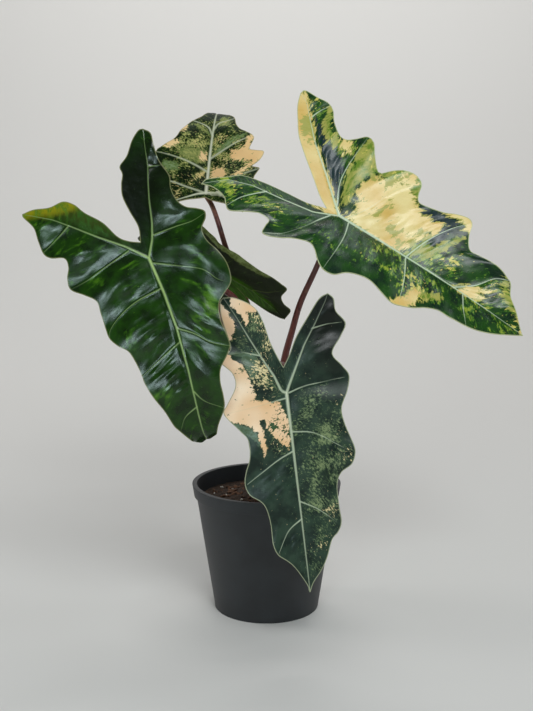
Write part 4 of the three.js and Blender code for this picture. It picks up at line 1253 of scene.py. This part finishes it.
# %% Make of the five skins
# The same columns for the make of each skin: how far patch edges tear and how long the
# streaks are, in mm, then how softly the patches end, and how strongly each part shows.
MAKES = {
    "tear": (12, 26, 14, 20, 10),
    "torn_size": ((4, 5), (5, 10), (5, 9), (2.2, 4), (4, 8)),
    "marble_size": ((2.1, 2.6), (3, 7), (7, 16), (1.5, 2.7), (6, 14)),
    "ragged": (0.74, 0.75, 0.6, 0.74, 0.6),
    "fleck_size": ((1.8, 2.4), (2.4, 5), (1.5, 3), (1.5, 3.5), (1.5, 3)),
    "island_size": ((3, 4), (4, 8), (4, 8), (3, 5), (4, 8)),
    "island_soft": (0.01, 0.04, 0.02, 0.02, 0.02),
    "clump": (18, 16, 24, 14, 20),
    "soft": (0.09, 0.03, 0.14, 0.05, 0.12),
    "crest": (0.065, 0.06, 0.09, 0.055, 0.1),
    "blend": (0.5, 0.8, 7, 1, 2.5),
    "lime_soft": (0.4, 1, 4, 0.8, 1),
    "halo": (0.6, 1.6, 1, 0.8, 1),
    "roughness": (0.32, 0.27, 0.2, 0.42, 0.45),
    "gloss": (0.32, 0.4, 0.38, 0.07, 0.12),
    "side_veins": (0.75, 0.8, 0.5, 0.75, 0.45),
    "vein_blur": (0.3, 0.4, 0.3, 1.1, 0.3),
    "ribs": (0.9, 1, 0.9, 0.9, 0.7),
    # veil: how strongly the painted shade also darkens the veins.
    "veil": (0.4, 0, 0.35, 0, 0),
    "rim": (0.8, 0.9, 0.7, 0.7, 0.5),
    "skin": (0.2, 0.2, 0.15, 0.3, 0.3),
}

# %% Ten finishes on five blades
BACK_PALER, BACK_ROUGHER, BACK_SKIN = 0.18, 0.12, 0.35
PALE_GREEN = (158, 170, 140)


def paler(hex_colour, share):
    """A hex colour moved some of the way to a pale grey-green."""
    shades = [int(hex_colour[i:i + 2], 16) for i in (1, 3, 5)]
    mixed = [round(s * (1 - share) + pale * share) for s, pale in zip(shades, PALE_GREEN)]
    return "#" + "".join(f"{shade:02x}" for shade in mixed)


for column, (name, blade) in enumerate(blades.items()):
    tones = {kind: row[column] for kind, row in TONES.items()}
    make = {kind: row[column] for kind, row in MAKES.items()}
    # The rear leaf shows its back, whose tones already hold painted shade, so they are not paled.
    share = 0 if name == "rear" else BACK_PALER
    back_tones = {kind: paler(tone, share) for kind, tone in tones.items()}
    back_make = make | {"roughness": make["roughness"] + BACK_ROUGHER, "skin": BACK_SKIN}
    blade.data.materials.clear()
    blade.data.materials.append(leaf_skin(name + "_waxy_leaf_face", tones, make))
    blade.data.materials.append(leaf_skin(name + "_dull_leaf_back", back_tones, back_make))
    print(blade.name, "slots:", [m.name for m in blade.data.materials])

# %% [markdown]
# ## Petioles
#
# A petiole is the stalk of one leaf. It is thickest at the foot, where a groove
# holds the next young leaf, and it tapers to a thin neck that bends into the back of
# the blade. A curve with a round bevel gives that shape, because each of its points
# may have its own radius. The paths pass the same places as the CAD model's, except
# that the front one bends lower, where its leaf hides the bend.

# %% Petiole paths
# The direction of each stalk's foot from the middle of the pot in degrees, and the places it passes.
PETIOLES = {
    "front": (279, [(3, -15, 165), (8, -30, 213), (13, -58, 238), (15.8, -84, 236)]),
    "right": (345, [
        (9, -4, 180), (15, -4, 228), (23.3, -6, 261), (29.8, -8, 284), (44.4, -13, 318), (56, -9, 346)]),
    "left": (215, [
        (-11, -14, 175), (-13, -26, 240), (-25, -45, 290), (-36, -60, 303), (-58, -78, 322),
        (-80, -93, 333)]),
    "top": (82, [
        (-1, 22, 175), (-6, 33, 235), (-13, 36, 263), (-23, 38, 292), (-37, 43, 328), (-45, 50, 353),
        (-51, 58, 368)]),
    "rear": (150, [(-15, 9, 165), (-26, 15, 215), (-36, 16, 255), (-44, 15, 283), (-50, 14, 299)]),
}
SEAT_CIRCLE, SEAT_HEIGHT, SEAT_RISE = 10.6, 111.3, 18
NECK_STUB, UNDER_RIB = 7, 3.6
SPAN_POINTS = 12


def centripetal(points):
    """A smooth path through points in the room that never overshoots a tight turn."""
    p = with_ends(points)
    path = []
    for before, start, end, after in zip(p[:-3], p[1:-2], p[2:-1], p[3:]):
        t1 = np.linalg.norm(start - before) ** 0.5
        t2 = t1 + np.linalg.norm(end - start) ** 0.5
        t3 = t2 + np.linalg.norm(after - end) ** 0.5
        for t in np.linspace(t1, t2, SPAN_POINTS, endpoint=False):
            a1 = (t1 - t) / t1 * before + t / t1 * start
            a2 = (t2 - t) / (t2 - t1) * start + (t - t1) / (t2 - t1) * end
            a3 = (t3 - t) / (t3 - t2) * end + (t - t2) / (t3 - t2) * after
            b1 = (t2 - t) / t2 * a1 + t / t2 * a2
            b2 = (t3 - t) / (t3 - t1) * a2 + (t - t1) / (t3 - t1) * a3
            path.append((t2 - t) / (t2 - t1) * b1 + (t - t1) / (t2 - t1) * b2)
    return np.array([*path, p[-2]])


def petiole_path(leaf):
    """A stalk's path in millimetres, and the direction of its foot."""
    azimuth, passes = PETIOLES[leaf["name"]]
    turn = math.radians(azimuth)
    outward = np.array([math.cos(turn), math.sin(turn), 0])
    seat = SEAT_CIRCLE * outward + (0, 0, SEAT_HEIGHT)
    out = leaf_axes(leaf)[2]
    joint = np.array(leaf["place"]) - UNDER_RIB * out
    return centripetal([seat, seat + (0, 0, SEAT_RISE), *passes, joint - NECK_STUB * out, joint]), outward


# %% Petioles from curves
NECK_RADIUS, FOOT_RADIUS, SWELL_POWER = 2.3, 4.6, 1.6
GROOVE_DEPTH, GROOVE_LENGTH, GROOVE_NARROW = 1.3, 75, 6
STALK_ROUND, STALK_DOUBLED = 6, 0.00001


def bevelled_curve(name, path, radius):
    """A round curve along a path, with a radius at each place, turned into a mesh."""
    bpy.ops.object.select_all(action="DESELECT")
    bpy.ops.curve.primitive_bezier_curve_add()
    curve = bpy.context.object.data
    bpy.context.object.name = name
    curve.splines.clear()
    spline = curve.splines.new("POLY")
    spline.points.add(len(path) - 1)
    spline.points.foreach_set("co", np.column_stack([path * MM, np.ones(len(path))]).ravel())
    spline.points.foreach_set("radius", radius * MM)
    curve.bevel_depth = 1.0
    curve.bevel_resolution = STALK_ROUND
    curve.use_fill_caps = True
    bpy.ops.object.convert(target="MESH")
    return bpy.context.object


petioles = []
for leaf in LEAVES:
    path, outward = petiole_path(leaf)
    run = lengths(path)
    share = run / run[-1]
    radius = NECK_RADIUS + (FOOT_RADIUS - NECK_RADIUS) * (1 - share) ** SWELL_POWER
    stalk = bevelled_curve("petiole_of_" + leaf["name"] + "_leaf", path, radius)
    points = np.array([v.co for v in stalk.data.vertices]) / MM
    near = np.array([np.linalg.norm(path - point, axis=1).argmin() for point in points])
    facing = np.clip((points - path[near]) @ -outward / radius[near], 0, 1)
    fading = np.clip(1 - run[near] / GROOVE_LENGTH, 0, 1) ** 0.5
    points += (GROOVE_DEPTH * facing ** GROOVE_NARROW * fading)[:, None] * outward
    stalk.data.vertices.foreach_set("co", (points * MM).ravel())
    store(stalk.data, "share", share[near])
    clean_up(stalk, STALK_DOUBLED)
    bpy.ops.object.shade_smooth_by_angle(angle=BLADE_CREASE)
    stand_in(stalk, "petiole_" + leaf["name"])
    petioles.append(stalk)
    print(stalk.name, "length, mm:", round(run[-1]))

# %% [markdown]
# The stalks are reddish brown, with fine darker streaks and blotches that run
# lengthwise, as on many aroids, and they pale to tan near the neck. The streaks
# stretch along the stalk because the noise reads the height squeezed.

# %% Mottled stalk
STREAK_SIZES, STREAK_SWIRL, BLOTCH_SIZE = (0.0016, 0.0016, 0.011), 0.4, 0.009
STALK_STOPS = ((0, "#523629"), (1, "#9a7056"), (0.45, "#63352f"), (0.86, "#6b3731"))

stalk_finish, tree = new_material("mottled_aroid_stalk")
place = room_place(tree)
streaks = clouds(tree, squeezed(tree, place, STREAK_SIZES), 1, 3, swirl=STREAK_SWIRL)
blotches = clouds(tree, place, BLOTCH_SIZE, 2)
from_foot = ramp(tree, measured(tree, "share"), STALK_STOPS)
streaked = laid_over(tree, from_foot, "#331a18", spread(tree, streaks, 0.5, 0.68, 0.0, 0.8, SMOOTH))
blotched = laid_over(tree, streaked, "#855c4b", spread(tree, blotches, 0.55, 0.75, 0.0, 0.5, SMOOTH))
close_finish(tree, Base_Color=blotched, Roughness=0.42, IOR=1.45, Normal=bumped(tree, streaks, 0.3, 0.0003))
for stalk in petioles:
    stalk.data.materials.clear()
    stalk.data.materials.append(stalk_finish)
print("stalks finished:", len(petioles))

# %% [markdown]
# ## Rootstock
#
# Between the stalks stands the rootstock, a stubby corm that carries the scars of
# old leaves as rings. It is turned, so a circle is drawn out ring by ring, as on a
# lathe, and the rings alternate between a scar and the swelling above it.

# %% Turned shapes
def draw_out(profile, segments, name):
    """Extrude a circle through (radius, height) pairs in millimetres, closing both ends."""
    bpy.ops.object.select_all(action="DESELECT")
    radius, height = profile[0]
    bpy.ops.mesh.primitive_circle_add(
        vertices=segments, radius=radius * MM, location=(0, 0, height * MM), fill_type="NGON")
    turned = bpy.context.object
    turned.name = name
    bpy.ops.object.transform_apply(location=True)
    bpy.ops.object.mode_set(mode="EDIT")
    bpy.ops.mesh.select_all(action="SELECT")
    for next_radius, next_height in profile[1:]:
        rise = (0, 0, (next_height - height) * MM)
        bpy.ops.mesh.extrude_region_move(TRANSFORM_OT_translate={"value": rise})
        grow = next_radius / radius
        bpy.ops.transform.resize(value=(grow, grow, 1), center_override=(0, 0, next_height * MM))
        radius, height = next_radius, next_height
    bpy.ops.mesh.select_all(action="SELECT")
    bpy.ops.mesh.normals_make_consistent(inside=False)
    bpy.ops.object.mode_set(mode="OBJECT")
    return turned


def soften(piece, width, segments, crease):
    """Round a piece's sharp edges a little, and shade the rest smooth."""
    select_only(piece)
    bevel = piece.modifiers.new("soften", "BEVEL")
    bevel.width = width * MM
    bevel.segments = segments
    bevel.limit_method = "ANGLE"
    bpy.ops.object.modifier_apply(modifier="soften")
    bpy.ops.object.shade_smooth_by_angle(angle=math.radians(crease))


def finish_earthy(piece, name, sizes, stops, detail, bump, dullness, crumble=0.5):
    """Give a piece a dry finish: two tones of one noise, which also roughens the surface."""
    material, tree = new_material(name)
    crumbs = clouds(tree, squeezed(tree, room_place(tree), sizes), 1, detail, crumble)
    tone = ramp(tree, crumbs, stops)
    close_finish(tree, Base_Color=tone, Roughness=dullness, Normal=bumped(tree, crumbs, *bump))
    piece.data.materials.append(material)
    print(name, "on", len(piece.data.polygons), "faces")


# %% Corm
CORM_RINGS = [
    (11.7, 85.4), (15.7, 90.3), (16.6, 96.3), (16.6, 109), (15.4, 110.9), (10, 111), (6.2, 111), (5.4, 111.3),
    (5.2, 116), (4.9, 116.8), (5.2, 117.6), (5.0, 121.5), (4.6, 122.2), (4.9, 123), (4.6, 127), (4.1, 127.8),
    (4.3, 128.6), (3.8, 132), (3.2, 134), (2.4, 136), (1.3, 138), (0.4, 138.9)]
CORM_FIBRE = (0.002, 0.002, 0.0009)
CORM_STOPS = ((0.35, "#3f291c"), (0.68, "#8a6345"))

corm = draw_out(CORM_RINGS, segments=48, name="corm_with_leaf_scars")
soften(corm, width=0.25, segments=2, crease=40)
stand_in(corm, "rootstock")
finish_earthy(corm, "dry_corm_skin", CORM_FIBRE, CORM_STOPS, detail=5, bump=(0.6, 0.0005), dullness=0.85)

# %% [markdown]
# ## Pot
#
# A nursery pot is moulded polypropylene: one thin tapering wall, a flat rim band to
# lift it by, and drain holes through its floor. The wall is drawn out up the outside,
# over the rim and down the inside, the holes are cut, and every edge is softened as
# the mould leaves it.

# %% Pot wall and drain holes
POT_HEIGHT, POT_BOTTOM_RADIUS, POT_TOP_RADIUS = 118, 48, 66
POT_WALL, POT_FLOOR, RIM_HEIGHT, RIM_REACH = 2.2, 2.5, 11, 2.2
DRAIN_RADIUS, DRAIN_CIRCLE, DRAIN_COUNT = 4, 34, 6


def wall_at(height):
    """The outer radius of the tapering wall at a height."""
    return POT_BOTTOM_RADIUS + (POT_TOP_RADIUS - POT_BOTTOM_RADIUS) * height / POT_HEIGHT


def punch_hole(pot, turn):
    """Cut one drain hole with a cylinder, which is then thrown away."""
    bpy.ops.object.select_all(action="DESELECT")
    bpy.ops.mesh.primitive_cylinder_add(
        vertices=32, radius=DRAIN_RADIUS * MM, depth=4 * POT_FLOOR * MM,
        location=(DRAIN_CIRCLE * math.cos(turn) * MM, DRAIN_CIRCLE * math.sin(turn) * MM, POT_FLOOR / 2 * MM))
    punch = bpy.context.object
    bpy.context.view_layer.objects.active = pot
    cut = pot.modifiers.new("drain", "BOOLEAN")
    cut.object = punch
    cut.solver = "EXACT"
    bpy.ops.object.modifier_apply(modifier="drain")
    bpy.data.objects.remove(punch)


rim_start = POT_HEIGHT - RIM_HEIGHT
pot = draw_out([
    (POT_BOTTOM_RADIUS, 0), (wall_at(rim_start), rim_start), (wall_at(rim_start) + RIM_REACH, rim_start),
    (POT_TOP_RADIUS + RIM_REACH, POT_HEIGHT), (POT_TOP_RADIUS - POT_WALL, POT_HEIGHT),
    (wall_at(POT_FLOOR) - POT_WALL, POT_FLOOR)], segments=128, name="moulded_pot")
for hole in range(DRAIN_COUNT):
    punch_hole(pot, 2 * math.pi * (hole + 0.5) / DRAIN_COUNT)
soften(pot, width=0.5, segments=3, crease=35)
stand_in(pot, "pot")
print("pot faces:", len(pot.data.polygons))

# %% Moulded polypropylene
GRAIN_SIZE, HANDLED_SIZE = 0.0007, 0.03
POT_STOPS = ((0.3, "#212325"), (0.75, "#2e3134"))

moulded, tree = new_material("moulded_polypropylene")
place = room_place(tree)
handled = clouds(tree, place, HANDLED_SIZE, 4)
grain = bumped(tree, clouds(tree, place, GRAIN_SIZE, 2), 0.15, 0.0002)
dullness = spread(tree, handled, 0, 1, 0.44, 0.62)
close_finish(tree, Base_Color=ramp(tree, handled, POT_STOPS), Roughness=dullness, IOR=1.49, Normal=grain)
pot.data.materials.append(moulded)
print("pot slots:", [m.name for m in pot.data.materials])

# %% [markdown]
# ## Soil
#
# An aroid grows in a loose mix: dark fibre, chips of bark and grains of white
# perlite. The mass is one turned body whose top is cut fine and roughened by a
# noise, and the chips and grains are modelled once each and strewn as copies.

# %% Soil body
SOIL_BOTTOM, SOIL_EDGE, SOIL_CROWN, SOIL_GAP = 2.8, 104, 109, 0.3
SLOPE_RADII, SLOPE_HEIGHTS = (30, 44), (108, 106)
SOCKET_RADIUS, SOCKET_FLOOR = 17, 85
RING_COUNT = 34
CRUMB, BIG_LUMP, SMALL_LUMP = 0.9, 4.5, 1.8
EVEN_EDGE, SOIL_CREASE = 0.5, 60
CRUMB_SIZE = 0.0022
SOIL_STOPS = ((0.35, "#1f1610"), (0.7, "#5a4230"))


def inside_wall(height):
    """The radius at which the soil meets the pot."""
    return wall_at(height) - POT_WALL - SOIL_GAP


def soil_height(radius):
    """Height of the heaped surface at some distances from the middle."""
    distances = (SOCKET_RADIUS, *SLOPE_RADII, inside_wall(SOIL_EDGE))
    return np.interp(radius, distances, (SOIL_CROWN, *SLOPE_HEIGHTS, SOIL_EDGE))


rings = np.linspace(inside_wall(SOIL_EDGE), SOCKET_RADIUS, RING_COUNT)
soil = draw_out([
    (inside_wall(SOIL_BOTTOM), SOIL_BOTTOM), *((float(r), float(soil_height(r)) - CRUMB) for r in rings),
    (SOCKET_RADIUS, SOCKET_FLOOR)], segments=192, name="potting_mix")
points = np.array([v.co for v in soil.data.vertices]) / MM
radius = np.hypot(points[:, 0], points[:, 1])
open_top = (radius < inside_wall(SOIL_EDGE) - EVEN_EDGE) & (radius > SOCKET_RADIUS + EVEN_EDGE)
for index in np.nonzero((points[:, 2] > SOCKET_FLOOR + EVEN_EDGE) & open_top)[0]:
    x, y = points[index, :2]
    lump = noise.noise(Vector((x / BIG_LUMP, y / BIG_LUMP, 0.0)))
    lump += 0.5 * noise.noise(Vector((x / SMALL_LUMP, y / SMALL_LUMP, 7.0)))
    points[index, 2] += CRUMB * max(-1.0, min(1.0, lump))
soil.data.vertices.foreach_set("co", (points * MM).ravel())
bpy.ops.object.shade_smooth_by_angle(angle=math.radians(SOIL_CREASE))
stand_in(soil, "soil")
finish_earthy(
    soil, "damp_coir_mix", (CRUMB_SIZE,) * 3, SOIL_STOPS, detail=6, bump=(0.8, 0.0012), dullness=0.95,
    crumble=0.7)

# %% [markdown]
# Chips lie at every angle, half sunk. A seeded random generator strews them, so the
# scene comes out the same on every run.

# %% One lump and its copies
FROM_EDGES, SUNK, LEAN, KNOCK, DENTS = 5, 0.7, 0.4, 0.25, 1.7
strew = np.random.default_rng(7)


def pebble(size, splits):
    """A small rough lump: a low icosphere pressed flat and knocked out of round."""
    bpy.ops.object.select_all(action="DESELECT")
    bpy.ops.mesh.primitive_ico_sphere_add(subdivisions=splits, radius=1)
    lump = bpy.context.object
    for vertex in lump.data.vertices:
        knock = 1 + KNOCK * noise.noise(vertex.co * DENTS)
        vertex.co = Vector([c * s * knock * MM for c, s in zip(vertex.co, size)])
    return lump


def strewn(pattern, count, smallest, largest, name):
    """Copies of one small shape, scattered over the soil and joined into one piece."""
    copies = []
    nearest, farthest = SOCKET_RADIUS + FROM_EDGES, inside_wall(SOIL_EDGE) - FROM_EDGES
    for _ in range(count):
        copy = pattern.copy()
        copy.data = pattern.data.copy()
        bpy.context.collection.objects.link(copy)
        reach = math.sqrt(strew.uniform(nearest ** 2, farthest ** 2))
        turn = strew.uniform(0, 2 * math.pi)
        place = (reach * math.cos(turn), reach * math.sin(turn), float(soil_height(reach)) - SUNK)
        copy.location = Vector(place) * MM
        copy.rotation_euler = strew.uniform((-LEAN, -LEAN, 0), (LEAN, LEAN, 2 * math.pi))
        copy.scale = [float(strew.uniform(smallest, largest))] * 3
        copies.append(copy)
    bpy.data.objects.remove(pattern)
    select_only(*copies)
    bpy.ops.object.transform_apply(location=True, rotation=True, scale=True)
    bpy.ops.object.join()
    copies[0].name = name
    stand_in(copies[0], "soil")
    return copies[0]


# %% Bark chips and perlite
# Each kind's name, its lengths in mm, how finely it is cut, how many, the smallest and largest
# copy, and its finish: name, two tones and the size of its clouds in metres.
STREWN = (
    ("bark_chips", (3.4, 2.2, 0.9), 1, 90, 0.6, 1.35, "composted_pine_bark", "#3a2417", "#7a5236", 0.0025),
    ("perlite_grains", (1.5, 1.3, 1.1), 2, 45, 0.6, 1.2, "expanded_perlite", "#c9c3b6", "#ece8df", 0.0015),
)

for name, size, splits, count, smallest, largest, finish_name, dark, light, cloud in STREWN:
    piece = strewn(pebble(size, splits), count, smallest, largest, name)
    stops = ((0.35, dark), (0.65, light))
    finish_earthy(piece, finish_name, (cloud,) * 3, stops, detail=4, bump=(0.5, 0.0004), dullness=0.9)
